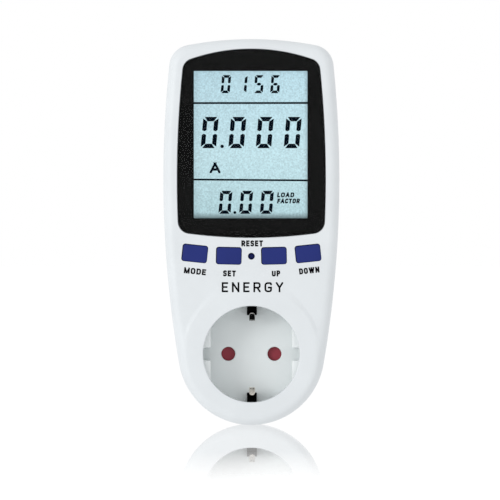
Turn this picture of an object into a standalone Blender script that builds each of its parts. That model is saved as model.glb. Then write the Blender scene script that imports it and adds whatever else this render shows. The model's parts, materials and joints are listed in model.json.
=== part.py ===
"""Plug-in power meter: type F socket in front, type F plug behind, display and buttons above.

Sizes are in millimetres and solids are made in metres. The origin is the centre of the plug's
face. +Y points into the wall, -Y towards the reader, +Z up. Outlines are lists of (x, z).
"""

import math

import bmesh
import bpy

MM = 0.001
GAP = 0.3  # between solids that touch on the real object

# depths, from the reader to the wall
FRONT_Y = -60.0
FRONT_WALL = 3.0
FRONT_INNER_Y = FRONT_Y + FRONT_WALL
PARTING_Y = -36.0
BACK_Y = -18.0
BACK_WALL = 2.2
BACK_INNER_Y = BACK_Y - BACK_WALL
SIDE_WALL = 2.2
FRONT_EDGE_RADIUS = 4.0
BACK_EDGE_RADIUS = 3.0

# body outline: large side arcs, a round bottom and an arched top
SIDE_RADIUS = 450.0
HALF_WIDTH = 36.1
WIDEST_Z = 72.0
BOTTOM_CENTRE_Z = 1.0
TOP_Z = 129.2
TOP_RADIUS = 140.0
TOP_CORNER_RADIUS = 9.0

# display lens
LENS_BORDER = 5.7
LENS_TOP_Z = 125.1
LENS_TOP_RADIUS = 76.0
LENS_BOTTOM_Z = 47.8
LENS_BOTTOM_RADIUS = 195.0
LENS_CORNER_RADIUS = 5.0
LENS_PROUD = 0.2
LENS_THICKNESS = 1.4
MASK_THICKNESS = 0.4
POCKET_DEPTH = 1.9

# liquid crystal display
WINDOW_X = -0.3
WINDOW_HALF_WIDTH = 23.3
WINDOW_LOW_Z = 55.7
WINDOW_HIGH_Z = 116.1
WINDOW_MID_Z = (WINDOW_LOW_Z + WINDOW_HIGH_Z) / 2
WINDOW_HEIGHT = WINDOW_HIGH_Z - WINDOW_LOW_Z
LCD_MARGIN = 2.2
LCD_THICKNESS = 2.4
HOLDER_WALL = 1.4

# boards
BOARD_THICKNESS = 1.6
DISPLAY_BOARD_Y = -48.5  # its front face
MAIN_BOARD_Y = -38.0
DISPLAY_BOARD_LOW_Z = 31.0
MAIN_BOARD_LOW_Z = 28.5
BOARD_HIGH_Z = 118.0

# buttons: name, x, z, tilt in degrees
BUTTONS = (
    ("mode", -23.2, 41.3, -6.0),
    ("set", -9.25, 40.35, -1.3),
    ("up", 9.25, 40.35, 1.3),
    ("down", 23.2, 41.3, 6.0),
)
BUTTON_WIDTH = 10.3
BUTTON_HEIGHT = 6.95
BUTTON_CORNER = 1.0
BUTTON_SET_BACK = 0.2
BUTTON_FLANGE = 1.0  # how far the flange reaches past the cap
RESET_Z = 40.15
RESET_RADIUS = 1.15
RESET_SET_BACK = 1.4
FLANGE_THICKNESS = 0.8
STEM_RADIUS = 1.6
STEM_END_Y = -53.7
SWITCH_WIDTH = 6.2
SWITCH_FRONT_Y = -52.1
PLUNGER_RADIUS = 1.6
PLUNGER_END_Y = -51.6
SWITCH_BORE_DEPTH = 1.5

# type F socket and plug
PIN_X = 9.5
RECESS_RADIUS = 19.75
RECESS_DEPTH = 17.5
LEDGE_X = 16.7
LEDGE_NOTCH = 2.6
COLLAR_RADIUS = 28.2
COLLAR_PROUD = 0.5  # its edge is rounded over about 1.5 mm
FLOOR_Y = FRONT_Y + RECESS_DEPTH
FLOOR_THICKNESS = 2.0
INSERT_RADIUS = 21.6
PIN_HOLE_RADIUS = 2.85
CLIP_WINDOW_WIDTH = 4.1
CLIP_WINDOW_LOW = 15.9
CLIP_WINDOW_FRONT_Y = -55.4
PLUG_RADIUS = 19.0
PLUG_FLAT_X = 16.3
PLUG_RIB = 2.2
PLUG_CAVITY_RADIUS = 13.2
PLUG_FACE_WALL = 3.0
PIN_RADIUS = 2.4
PIN_LENGTH = 19.0
PIN_TAIL_Y = -21.3
EARTH_SLOT_WIDTH = 6.4
EARTH_SLOT_LOW = 16.2
EARTH_STRIP_WIDTH = 4.8

# contacts and shutter behind the socket's floor
SHUTTER_FRONT_Y = FLOOR_Y + FLOOR_THICKNESS + GAP
SHUTTER_THICKNESS = 1.6
SHUTTER_RADIUS = 13.6
SHUTTER_LOBE_DEG = 20.0
AXLE_RADIUS = 1.5
CARRIER_FRONT_Y = SHUTTER_FRONT_Y + SHUTTER_THICKNESS + GAP
CARRIER_BACK_Y = -26.5
CARRIER_RADIUS = 15.6
CONTACT_BORE_RADIUS = 3.7
CONTACT_RADIUS = 3.3
CONTACT_WALL = 0.6
CONTACT_FRONT_Y = -37.4
CONTACT_BACK_Y = -23.0
BUSBAR_Y = -22.0
STRIP_THICKNESS = 0.8
TAB_WIDTH = 4.6
CLIP_ROOT_Y = -39.8
CLIP_ROOT_Z = 16.6
CLIP_WIDTH = 2.5

# housing screws: name, x, z, radius of their posts
HOUSING_SCREWS = (
    ("top_left", -14.0, 122.7, 2.9),
    ("top_right", 14.0, 122.7, 2.9),
    ("bottom_left", -25.5, 18.0, 3.6),
    ("bottom_right", 25.5, 18.0, 3.6),
)
# board screws: x on the right side, z
DISPLAY_SCREW = (30.2, 62.0)
MAIN_SCREW = (24.0, 100.0)
POST_MEET_Y = -33.0  # where the posts of the two housings meet

MATERIALS = {
    # name: colour, roughness, metallic
    "housing_plastic": ((0.78, 0.81, 0.83), 0.45, 0.0),
    "socket_plastic": ((0.70, 0.73, 0.74), 0.45, 0.0),
    "lens_plastic": ((0.80, 0.85, 0.88), 0.05, 0.0),
    "mask_black": ((0.01, 0.01, 0.011), 0.3, 0.0),
    "lcd_glass": ((0.52, 0.75, 0.80), 0.2, 0.0),
    "button_blue": ((0.025, 0.036, 0.20), 0.4, 0.0),
    "black_plastic": ((0.02, 0.02, 0.022), 0.5, 0.0),
    "diffuser_plastic": ((0.85, 0.88, 0.90), 0.5, 0.0),
    "elastomer_grey": ((0.2, 0.2, 0.21), 0.7, 0.0),
    "board_green": ((0.02, 0.13, 0.06), 0.5, 0.0),
    "chip_black": ((0.015, 0.015, 0.016), 0.5, 0.0),
    "contact_brass": ((0.70, 0.52, 0.24), 0.35, 1.0),
    "nickel_plate": ((0.72, 0.72, 0.70), 0.25, 1.0),
    "steel_zinc": ((0.60, 0.61, 0.62), 0.35, 1.0),
    "shutter_red": ((0.32, 0.03, 0.04), 0.5, 0.0),
    "carrier_plastic": ((0.55, 0.56, 0.55), 0.5, 0.0),
    "capacitor_yellow": ((0.70, 0.48, 0.05), 0.45, 0.0),
    "sleeve_black": ((0.02, 0.02, 0.03), 0.4, 0.0),
    "varistor_blue": ((0.03, 0.12, 0.35), 0.5, 0.0),
    "label_film": ((0.62, 0.63, 0.64), 0.4, 0.0),
}


# --- outlines -------------------------------------------------------------------------------


def arc(centre, radius, start_deg, end_deg, steps):
    """Points on an arc, both ends included."""
    points = []
    for i in range(steps + 1):
        angle = math.radians(start_deg + (end_deg - start_deg) * i / steps)
        points.append((centre[0] + radius * math.cos(angle), centre[1] + radius * math.sin(angle)))
    return points


def circle(radius, steps=24, centre=(0.0, 0.0)):
    return arc(centre, radius, 0.0, 360.0, steps)[:-1]


def without_repeats(points):
    kept = []
    for point in points:
        if not kept or math.dist(point, kept[-1]) > 1e-6:
            kept.append(point)
    return kept


def both_sides(right_half):
    """A closed outline from its right half, which runs from the bottom centre to the top centre."""
    points = without_repeats(right_half)
    return points + [(-x, z) for x, z in reversed(points[1:-1])]


def angle_deg(centre, point):
    return math.degrees(math.atan2(point[1] - centre[1], point[0] - centre[0]))


def corner_centre(side, side_radius, end, end_radius, corner_radius, above):
    """Centre of the corner arc inside both the side circle and the end circle."""
    a, b = side_radius - corner_radius, end_radius - corner_radius
    gap = math.dist(side, end)
    along = (a * a - b * b + gap * gap) / (2 * gap)
    across = math.sqrt(a * a - along * along)
    ux, uz = (end[0] - side[0]) / gap, (end[1] - side[1]) / gap
    options = [
        (side[0] + along * ux - sign * across * uz, side[1] + along * uz + sign * across * ux)
        for sign in (1, -1)
    ]
    right = [point for point in options if point[0] > 0]
    return max(right, key=lambda point: point[1] if above else -point[1])


SIDE_CENTRE = (HALF_WIDTH - SIDE_RADIUS, WIDEST_Z)
BOTTOM_CENTRE = (0.0, BOTTOM_CENTRE_Z)
BOTTOM_RADIUS = SIDE_RADIUS - math.dist(SIDE_CENTRE, BOTTOM_CENTRE)
TOP_CENTRE = (0.0, TOP_Z - TOP_RADIUS)
TOP_CORNER = corner_centre(SIDE_CENTRE, SIDE_RADIUS, TOP_CENTRE, TOP_RADIUS, TOP_CORNER_RADIUS, True)


def body_outline(inset=0.0):
    """The body seen from the front, drawn inwards by inset."""
    low = angle_deg(SIDE_CENTRE, BOTTOM_CENTRE)
    high = angle_deg(SIDE_CENTRE, TOP_CORNER)
    end = angle_deg(TOP_CENTRE, TOP_CORNER)
    return both_sides(
        arc(BOTTOM_CENTRE, BOTTOM_RADIUS - inset, -90.0, low, 12)
        + arc(SIDE_CENTRE, SIDE_RADIUS - inset, low, high, 6)
        + arc(TOP_CORNER, TOP_CORNER_RADIUS - inset, high, end, 5)
        + arc(TOP_CENTRE, TOP_RADIUS - inset, end, 90.0, 3)
    )


def lens_outline(inset=0.0):
    """The display lens: the body's sides drawn in by the border, arched above and below."""
    side_radius = SIDE_RADIUS - LENS_BORDER
    top = (0.0, LENS_TOP_Z - LENS_TOP_RADIUS)
    bottom = (0.0, LENS_BOTTOM_Z + LENS_BOTTOM_RADIUS)
    radius = LENS_CORNER_RADIUS
    high = corner_centre(SIDE_CENTRE, side_radius, top, LENS_TOP_RADIUS, radius, True)
    low = corner_centre(SIDE_CENTRE, side_radius, bottom, LENS_BOTTOM_RADIUS, radius, False)
    return both_sides(
        arc(bottom, LENS_BOTTOM_RADIUS - inset, -90.0, angle_deg(bottom, low), 3)
        + arc(low, radius - inset, angle_deg(bottom, low), angle_deg(SIDE_CENTRE, low), 4)
        + arc(
            SIDE_CENTRE,
            side_radius - inset,
            angle_deg(SIDE_CENTRE, low),
            angle_deg(SIDE_CENTRE, high),
            4,
        )
        + arc(high, radius - inset, angle_deg(SIDE_CENTRE, high), angle_deg(top, high), 4)
        + arc(top, LENS_TOP_RADIUS - inset, angle_deg(top, high), 90.0, 4)
    )


def half_width(z, inset):
    """Half the body's width at height z, along its side arcs."""
    radius = SIDE_RADIUS - inset
    return SIDE_CENTRE[0] + math.sqrt(radius * radius - (z - WIDEST_Z) ** 2)


def board_outline(inset, low_z, high_z, steps=4):
    heights = [low_z + (high_z - low_z) * i / steps for i in range(steps + 1)]
    right = [(half_width(z, inset), z) for z in heights]
    return right + [(-x, z) for x, z in reversed(right)]


def rectangle(width, height, centre=(0.0, 0.0), corner=0.0, tilt_deg=0.0):
    """A rectangle, with round corners if corner is over 0, turned by tilt_deg."""
    right, top = width / 2 - corner, height / 2 - corner
    points = []
    for x, z, start in ((right, top, 0), (-right, top, 90), (-right, -top, 180), (right, -top, 270)):
        points += arc((x, z), corner, start, start + 90, 3) if corner else [(x, z)]
    turn = math.radians(tilt_deg)
    return [
        (
            centre[0] + x * math.cos(turn) - z * math.sin(turn),
            centre[1] + x * math.sin(turn) + z * math.cos(turn),
        )
        for x, z in points
    ]


def keyed_circle(radius, flat_x, rib):
    """A circle cut flat at x = +-flat_x, but for a rib of half height rib that reaches the circle."""
    flat_end = math.degrees(math.acos(flat_x / radius))
    rib_end = math.degrees(math.asin(rib / radius))
    right = arc((0, 0), radius, -90.0, -flat_end, 6) + [(flat_x, -rib)]
    right += arc((0, 0), radius, -rib_end, rib_end, 2)
    right += [(flat_x, rib)] + arc((0, 0), radius, flat_end, 90.0, 6)
    return both_sides(right)


def shutter_outline():
    """Two lobes, one over each pin hole, on a round hub."""
    hub_radius, neck_deg = 4.6, 40.0
    points = []
    for start in (0.0, 180.0):
        lobe = SHUTTER_LOBE_DEG
        points += arc((0, 0), SHUTTER_RADIUS, start - lobe, start + lobe, 6)
        points += arc((0, 0), hub_radius, start + neck_deg, start + 180.0 - neck_deg, 6)
    return points


def open_ring(radius, wall, mouth_deg=24.0, steps=16):
    """A split sleeve's cross-section, with its slit towards -Z."""
    start, end = -90.0 + mouth_deg, 270.0 - mouth_deg
    outer = arc((0, 0), radius, start, end, steps)
    inner = arc((0, 0), radius - wall, end, start, steps)
    return outer + inner


def moved(outline, x, z):
    return [(px + x, pz + z) for px, pz in outline]


def rounded_path(points, radius, steps=3):
    """A path whose inner corners are replaced by arcs of about this radius."""
    path = [points[0]]
    for before, corner, after in zip(points, points[1:], points[2:]):
        reach = min(radius, math.dist(before, corner) / 2, math.dist(corner, after) / 2)
        start, end = (
            tuple(c + (p - c) * reach / math.dist(corner, other) for c, p in zip(corner, other))
            for other in (before, after)
        )
        for i in range(steps + 1):
            t = i / steps
            path.append(
                tuple(
                    (1 - t) ** 2 * s + 2 * t * (1 - t) * c + t * t * e
                    for s, c, e in zip(start, corner, end)
                )
            )
    return path + [points[-1]]


def ribbon_outline(path, thickness):
    """The closed outline of a strip of this thickness along a path."""
    left, right = [], []
    for i, point in enumerate(path):
        before, after = path[max(i - 1, 0)], path[min(i + 1, len(path) - 1)]
        length = math.dist(before, after)
        across = (-(after[1] - before[1]) / length, (after[0] - before[0]) / length)
        left.append(tuple(p + a * thickness / 2 for p, a in zip(point, across)))
        right.append(tuple(p - a * thickness / 2 for p, a in zip(point, across)))
    return left + right[::-1]


# --- solids ---------------------------------------------------------------------------------


def clear_scene():
    for item in list(bpy.data.objects):
        bpy.data.objects.remove(item, do_unlink=True)


def make_materials():
    for name, (colour, roughness, metallic) in MATERIALS.items():
        material = bpy.data.materials.new(name)
        material.use_nodes = True
        shader = material.node_tree.nodes["Principled BSDF"]
        shader.inputs["Base Color"].default_value = (*colour, 1.0)
        shader.inputs["Roughness"].default_value = roughness
        shader.inputs["Metallic"].default_value = metallic
        if name == "lens_plastic":
            shader.inputs["Alpha"].default_value = 0.2
        material.diffuse_color = (*colour, 1.0)


def loft(name, rings, material=None, origin=(0.0, 0.0, 0.0), smooth=False):
    """A closed solid through rings of equal length, each a list of (x, y, z), capped at its ends."""
    mesh = bpy.data.meshes.new(name)
    work = bmesh.new()
    loops = [
        [work.verts.new([(p - o) * MM for p, o in zip(point, origin)]) for point in ring]
        for ring in rings
    ]
    for first, second in zip(loops, loops[1:]):
        count = len(first)
        for i in range(count):
            j = (i + 1) % count
            work.faces.new((first[i], first[j], second[j], second[i]))
    work.faces.new(loops[0])
    work.faces.new(loops[-1])
    bmesh.ops.recalc_face_normals(work, faces=work.faces)
    work.to_mesh(mesh)
    work.free()
    if material:
        mesh.materials.append(bpy.data.materials[material])
    if smooth:
        mesh.shade_smooth()
        mesh.set_sharp_from_angle(angle=math.radians(35))
    solid = bpy.data.objects.new(name, mesh)
    solid.location = [o * MM for o in origin]
    bpy.context.scene.collection.objects.link(solid)
    return solid


def at_depth(outline, y):
    return [(x, y, z) for x, z in outline]


def prism(name, outline, y_front, y_back, material=None, **options):
    return loft(name, [at_depth(outline, y_front), at_depth(outline, y_back)], material, **options)


def turned(name, profile, material=None, centre=(0.0, 0.0), steps=20, **options):
    """A round solid along Y through (radius, y) pairs."""
    rings = [at_depth(circle(radius, steps, centre), y) for radius, y in profile]
    return loft(name, rings, material, smooth=True, **options)


def bent_strip(name, path, width, material, x=0.0, **options):
    """A strip bent in the Y-Z plane along (y, z) points and width wide in X."""
    outline = ribbon_outline(rounded_path(path, 1.6), STRIP_THICKNESS)
    rings = [[(x + side, y, z) for y, z in outline] for side in (-width / 2, width / 2)]
    return loft(name, rings, material, **options)


def combine(target, other, operation):
    """Joins other to target, or cuts it away, and keeps other as a hidden guide."""
    other.hide_render = True
    other.display_type = "WIRE"
    modifier = target.modifiers.new(other.name, "BOOLEAN")
    modifier.operation = operation
    modifier.solver = "EXACT"
    modifier.object = other


def cut(target, other):
    combine(target, other, "DIFFERENCE")


def join(target, other):
    combine(target, other, "UNION")


# --- housings -------------------------------------------------------------------------------


def edge_rings(radius, face_y, towards, steps=4):
    """Rings of a rounded edge, from the face out to the side. towards is the side's Y direction."""
    rings = []
    for i in range(steps + 1):
        turn = math.radians(90.0 * i / steps)
        inset = radius * (1 - math.sin(turn))
        y = face_y + towards * radius * (1 - math.cos(turn))
        rings.append(at_depth(body_outline(inset), y))
    return rings


def front_housing():
    seam = PARTING_Y - GAP / 2
    lip = seam - 1.9
    rings = edge_rings(FRONT_EDGE_RADIUS, FRONT_Y, 1)
    for inset, y in (
        (0.0, seam),
        (1.0, seam),
        (1.0, lip),
        (SIDE_WALL, lip),
        (SIDE_WALL, FRONT_INNER_Y + 1.0),
        (SIDE_WALL + 1.0, FRONT_INNER_Y),
    ):
        rings.append(at_depth(body_outline(inset), y))
    shell = loft("front_housing", rings, "housing_plastic", smooth=True)

    collar_profile = [
        (COLLAR_RADIUS - 1.5, FRONT_Y - COLLAR_PROUD),
        (COLLAR_RADIUS - 0.5, FRONT_Y - COLLAR_PROUD + 0.2),
        (COLLAR_RADIUS + 0.3, FRONT_Y + 0.2),
        (COLLAR_RADIUS + 0.7, FRONT_Y + 2.0),
    ]
    join(shell, turned("collar_guide", collar_profile, steps=48))
    for name, x, z, radius in HOUSING_SCREWS:
        post = prism(f"front_post_{name}", circle(radius, 12, (x, z)), FRONT_INNER_Y - 1, POST_MEET_Y - GAP)
        join(shell, post)
    for side in (-1, 1):
        centre = (side * DISPLAY_SCREW[0], DISPLAY_SCREW[1])
        post = prism(f"board_post_{side}", circle(2.2, 10, centre), FRONT_INNER_Y - 1, DISPLAY_BOARD_Y - GAP)
        join(shell, post)

    cut(shell, prism("lens_pocket", lens_outline(-0.25), FRONT_Y - 5, FRONT_Y + POCKET_DEPTH))
    window = rectangle(2 * WINDOW_HALF_WIDTH + 1.6, WINDOW_HEIGHT + 1.6, (0, WINDOW_MID_Z))
    cut(shell, prism("window_cut", window, FRONT_Y - 5, FRONT_INNER_Y + 5))
    for name, x, z, tilt in BUTTONS:
        hole = rectangle(
            BUTTON_WIDTH + 2 * GAP, BUTTON_HEIGHT + 2 * GAP, (x, z), BUTTON_CORNER + GAP, tilt
        )
        cut(shell, prism(f"{name}_hole", hole, FRONT_Y - 5, FRONT_INNER_Y + 2))
    reset_hole = circle(RESET_RADIUS + 0.4, 12, (0, RESET_Z))
    cut(shell, prism("reset_hole", reset_hole, FRONT_Y - 5, FRONT_INNER_Y + 2))
    cut(shell, prism("recess_mouth", circle(RECESS_RADIUS, 40), FRONT_Y - 5, FRONT_INNER_Y + 2))
    for name, x, z, _ in HOUSING_SCREWS:
        cut(shell, prism(f"front_bore_{name}", circle(1.6, 10, (x, z)), -47.0, POST_MEET_Y + 2))
    for side in (-1, 1):
        centre = (side * DISPLAY_SCREW[0], DISPLAY_SCREW[1])
        cut(shell, prism(f"board_bore_{side}", circle(1.4, 8, centre), -54.0, DISPLAY_BOARD_Y + 2))


def rear_housing():
    seam = PARTING_Y + GAP / 2
    lip = seam - 1.8
    rings = edge_rings(BACK_EDGE_RADIUS, BACK_Y, -1, 3)
    for inset, y in (
        (0.0, seam),
        (1.3, seam),
        (1.3, lip),
        (SIDE_WALL, lip),
        (SIDE_WALL, BACK_INNER_Y - 1.0),
        (SIDE_WALL + 1.0, BACK_INNER_Y),
    ):
        rings.append(at_depth(body_outline(inset), y))
    shell = loft("rear_housing", rings, "housing_plastic", smooth=True)

    plug_outline = keyed_circle(PLUG_RADIUS, PLUG_FLAT_X, PLUG_RIB)
    join(shell, prism("plug_body", plug_outline, BACK_Y - 1.0, 0.0))
    for name, x, z, radius in HOUSING_SCREWS:
        post = prism(f"rear_post_{name}", circle(radius, 12, (x, z)), POST_MEET_Y, BACK_INNER_Y + 1)
        join(shell, post)
    for side in (-1, 1):
        centre = (side * MAIN_SCREW[0], MAIN_SCREW[1])
        post_front = MAIN_BOARD_Y + BOARD_THICKNESS + GAP
        join(shell, prism(f"main_post_{side}", circle(2.4, 10, centre), post_front, BACK_INNER_Y + 1))

    cut(shell, prism("plug_cavity", circle(PLUG_CAVITY_RADIUS, 24), -30.0, -PLUG_FACE_WALL))
    for side in (-1, 1):
        hole = circle(PIN_RADIUS + GAP, 16, (side * PIN_X, 0))
        cut(shell, prism(f"plug_pin_hole_{side}", hole, -10.0, 5.0))
        slot_height = 8.0
        slot = rectangle(EARTH_SLOT_WIDTH, slot_height, (0, side * (EARTH_SLOT_LOW + slot_height / 2)))
        cut(shell, prism(f"earth_slot_{side}", slot, BACK_Y, 5.0))
        leg_hole = rectangle(EARTH_STRIP_WIDTH + 2 * GAP, 12.0, (0, side * 16.0))
        cut(shell, prism(f"earth_leg_hole_{side}", leg_hole, -15.9, -14.3))
    for name, x, z, radius in HOUSING_SCREWS:
        cut(shell, prism(f"rear_bore_{name}", circle(1.6, 10, (x, z)), POST_MEET_Y - 2, -25.0))
        cut(shell, prism(f"head_bore_{name}", circle(radius - 0.7, 12, (x, z)), -30.5, -10.0))
    for side in (-1, 1):
        centre = (side * MAIN_SCREW[0], MAIN_SCREW[1])
        cut(shell, prism(f"main_bore_{side}", circle(1.4, 8, centre), -45.0, -29.0))
    label_pocket = rectangle(44.6, 50.6, (0, 72.0))
    cut(shell, prism("label_pocket", label_pocket, BACK_Y - 0.5, BACK_Y + 5))


def rating_label():
    outline = rectangle(44.0, 50.0, (0, 72.0), 2.0)
    prism("rating_label", outline, BACK_Y - 0.2, BACK_Y - 0.05, "label_film")


# --- display --------------------------------------------------------------------------------


def display_parts():
    lens_front = FRONT_Y - LENS_PROUD
    lens_back = lens_front + LENS_THICKNESS
    rings = [
        at_depth(lens_outline(0.3), lens_front),
        at_depth(lens_outline(0.0), lens_front + 0.3),
        at_depth(lens_outline(0.0), lens_back),
    ]
    loft("display_lens", rings, "lens_plastic", smooth=True)

    mask_front = lens_back + 0.12
    mask = prism("lens_mask", lens_outline(0.2), mask_front, mask_front + MASK_THICKNESS, "mask_black")
    window = rectangle(2 * WINDOW_HALF_WIDTH, WINDOW_HEIGHT, (WINDOW_X, WINDOW_MID_Z))
    cut(mask, prism("mask_window", window, FRONT_Y - 5, FRONT_Y + 5))

    panel_front = FRONT_INNER_Y + GAP
    panel_back = panel_front + LCD_THICKNESS
    panel_width = 2 * (WINDOW_HALF_WIDTH + LCD_MARGIN)
    panel_height = WINDOW_HEIGHT + 2 * LCD_MARGIN
    panel = rectangle(panel_width, panel_height, (0, WINDOW_MID_Z))
    prism("lcd_panel", panel, panel_front, panel_back, "lcd_glass")

    holder_back = DISPLAY_BOARD_Y - GAP
    rim = 2 * (GAP + HOLDER_WALL)
    holder_outline = rectangle(panel_width + rim, panel_height + rim - 1.8, (0, WINDOW_MID_Z))
    holder = prism("lcd_holder", holder_outline, panel_front, holder_back, "black_plastic")
    inner = rectangle(panel_width + 2 * GAP, panel_height + 2 * GAP, (0, WINDOW_MID_Z))
    cut(holder, prism("holder_opening", inner, FRONT_Y, DISPLAY_BOARD_Y + 5))

    strip_height = 2.0
    strip_z = WINDOW_LOW_Z - LCD_MARGIN + GAP + strip_height / 2
    strip = rectangle(2 * WINDOW_HALF_WIDTH - 4.0, strip_height, (0, strip_z))
    prism("lcd_connector", strip, panel_back + GAP, holder_back, "elastomer_grey")
    diffuser_low = strip_z + strip_height / 2 + GAP
    diffuser_high = WINDOW_HIGH_Z + LCD_MARGIN
    diffuser = rectangle(
        panel_width, diffuser_high - diffuser_low, (0, (diffuser_high + diffuser_low) / 2)
    )
    prism("backlight_diffuser", diffuser, panel_back + GAP, panel_back + GAP + 2.2, "diffuser_plastic")


# --- boards ---------------------------------------------------------------------------------


def screw(name, x, z, head_radius, head_front, head_back, shank_radius, tip, points_to_reader):
    """A pan-head screw along Y. Its tip is towards the reader, or towards the wall."""
    if points_to_reader:
        profile = [
            (shank_radius * 0.4, tip),
            (shank_radius, tip + 1.0),
            (shank_radius, head_front),
            (head_radius, head_front),
            (head_radius, head_back - 0.5),
            (head_radius * 0.7, head_back),
        ]
    else:
        profile = [
            (head_radius * 0.7, head_front),
            (head_radius, head_front + 0.5),
            (head_radius, head_back),
            (shank_radius, head_back),
            (shank_radius, tip - 1.0),
            (shank_radius * 0.4, tip),
        ]
    turned(name, profile, "steel_zinc", (x, z), steps=10)


def housing_screws():
    for name, x, z, radius in HOUSING_SCREWS:
        head_front = -30.5 + GAP
        screw(f"housing_screw_{name}", x, z, radius - 1.0, head_front, head_front + 1.9, 1.25, -45.5, True)


def display_board():
    back = DISPLAY_BOARD_Y + BOARD_THICKNESS
    outline = board_outline(3.0, DISPLAY_BOARD_LOW_Z, BOARD_HIGH_Z)
    board = prism("display_board", outline, DISPLAY_BOARD_Y, back, "board_green")
    component_y = back + GAP
    for side, label in ((-1, "left"), (1, "right")):
        x, z = side * DISPLAY_SCREW[0], DISPLAY_SCREW[1]
        hole = circle(1.5, 8, (x, z))
        cut(board, prism(f"display_board_hole_{label}", hole, DISPLAY_BOARD_Y - 2, back + 2))
        head_back = component_y + 1.2
        screw(f"display_screw_{label}", x, z, 2.0, component_y, head_back, 1.1, -53.4, True)
    prism("controller_chip", rectangle(12.0, 12.0, (9.0, 92.0)), component_y, component_y + 1.6, "chip_black")
    prism("crystal", rectangle(8.0, 2.6, (9.0, 79.0)), component_y, component_y + 2.6, "nickel_plate")
    turned(
        "backup_battery",
        [(9.4, component_y), (10.0, component_y + 0.6), (10.0, component_y + 3.2)],
        "nickel_plate",
        (-12.0, 84.0),
    )
    link = rectangle(20.0, 2.5, (0.0, 34.5))
    prism("board_link", link, component_y, MAIN_BOARD_Y - GAP, "black_plastic")


def main_board():
    back = MAIN_BOARD_Y + BOARD_THICKNESS
    outline = board_outline(6.0, MAIN_BOARD_LOW_Z, BOARD_HIGH_Z)
    board = prism("main_board", outline, MAIN_BOARD_Y, back, "board_green")
    for side, label in ((-1, "left"), (1, "right")):
        x, z = side * MAIN_SCREW[0], MAIN_SCREW[1]
        hole = circle(1.5, 8, (x, z))
        cut(board, prism(f"main_board_hole_{label}", hole, MAIN_BOARD_Y - 2, back + 2))
        head_back = MAIN_BOARD_Y - GAP
        screw(f"main_screw_{label}", x, z, 2.0, head_back - 1.2, head_back, 1.1, -30.0, False)
    top = back + GAP
    prism("metering_chip", rectangle(8.0, 10.0, (-12.0, 86.0)), top, top + 1.8, "chip_black")
    prism("film_capacitor", rectangle(18.0, 10.0, (-13.0, 66.0), 1.0), top, top + 13.0, "capacitor_yellow")
    turned(
        "electrolytic_capacitor",
        [(4.6, top), (5.0, top + 0.6), (5.0, top + 11.4), (4.5, top + 12.0)],
        "sleeve_black",
        (12.0, 60.0),
    )
    varistor_z, varistor_radius = 82.0, 6.0
    rings = [
        [(x, y + top + varistor_radius + 1.0, z + varistor_z) for y, z in circle(radius, 16)]
        for radius, x in ((5.4, 9.8), (6.0, 10.6), (6.0, 13.2), (5.4, 14.0))
    ]
    loft("varistor", rings, "varistor_blue", smooth=True)
    shunt = [(top + 0.4, 39.0), (top + 0.4, 42.0), (top + 5.0, 42.0), (top + 5.0, 50.0)]
    shunt += [(top + 0.4, 50.0), (top + 0.4, 53.0)]
    bent_strip("shunt_resistor", shunt, 5.0, "contact_brass", x=-PIN_X)


# --- buttons --------------------------------------------------------------------------------


def switch(name, x, z, tilt):
    """A tactile switch: a case with a bore, and the plunger that moves in it."""
    case_outline = rectangle(SWITCH_WIDTH, SWITCH_WIDTH, (x, z), 0.0, tilt)
    case = prism(f"{name}_switch", case_outline, SWITCH_FRONT_Y, DISPLAY_BOARD_Y - GAP, "black_plastic")
    bore = circle(PLUNGER_RADIUS + GAP, 12, (x, z))
    cut(case, prism(f"{name}_switch_bore", bore, SWITCH_FRONT_Y - 2, SWITCH_FRONT_Y + SWITCH_BORE_DEPTH))
    start = STEM_END_Y + GAP
    turned(
        f"{name}_plunger",
        [(PLUNGER_RADIUS, start), (PLUNGER_RADIUS, PLUNGER_END_Y)],
        "elastomer_grey",
        (x, z),
        steps=12,
        origin=(x, start, z),
    )


def push_button(name, x, z, tilt):
    """A cap that fills its hole, a flange behind the wall and a stem down to the switch."""
    face = FRONT_Y + BUTTON_SET_BACK
    flange_front = FRONT_INNER_Y + GAP
    flange_back = flange_front + FLANGE_THICKNESS
    grow = 2 * BUTTON_FLANGE
    rings = []
    for width, height, corner, y in (
        (BUTTON_WIDTH - 0.6, BUTTON_HEIGHT - 0.6, BUTTON_CORNER - 0.3, face),
        (BUTTON_WIDTH, BUTTON_HEIGHT, BUTTON_CORNER, face + 0.3),
        (BUTTON_WIDTH, BUTTON_HEIGHT, BUTTON_CORNER, flange_front),
        (BUTTON_WIDTH + grow, BUTTON_HEIGHT + grow, BUTTON_CORNER, flange_front),
        (BUTTON_WIDTH + grow, BUTTON_HEIGHT + grow, BUTTON_CORNER, flange_back),
        (2 * STEM_RADIUS, 2 * STEM_RADIUS, STEM_RADIUS * 0.9, flange_back),
        (2 * STEM_RADIUS, 2 * STEM_RADIUS, STEM_RADIUS * 0.9, STEM_END_Y),
    ):
        rings.append(at_depth(rectangle(width, height, (x, z), corner, tilt), y))
    loft(f"{name}_button", rings, "button_blue", origin=(x, face, z), smooth=True)
    switch(name, x, z, tilt)


def reset_button():
    face = FRONT_Y + RESET_SET_BACK
    flange_front = FRONT_INNER_Y + GAP
    flange_back = flange_front + FLANGE_THICKNESS
    profile = [
        (RESET_RADIUS - 0.3, face),
        (RESET_RADIUS, face + 0.3),
        (RESET_RADIUS, flange_front),
        (2.5, flange_front),
        (2.5, flange_back),
        (RESET_RADIUS, flange_back),
        (RESET_RADIUS, STEM_END_Y),
    ]
    turned("reset_button", profile, "button_blue", (0, RESET_Z), steps=14, origin=(0, face, RESET_Z))
    switch("reset", 0.0, RESET_Z, 0.0)


# --- socket ---------------------------------------------------------------------------------


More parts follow.
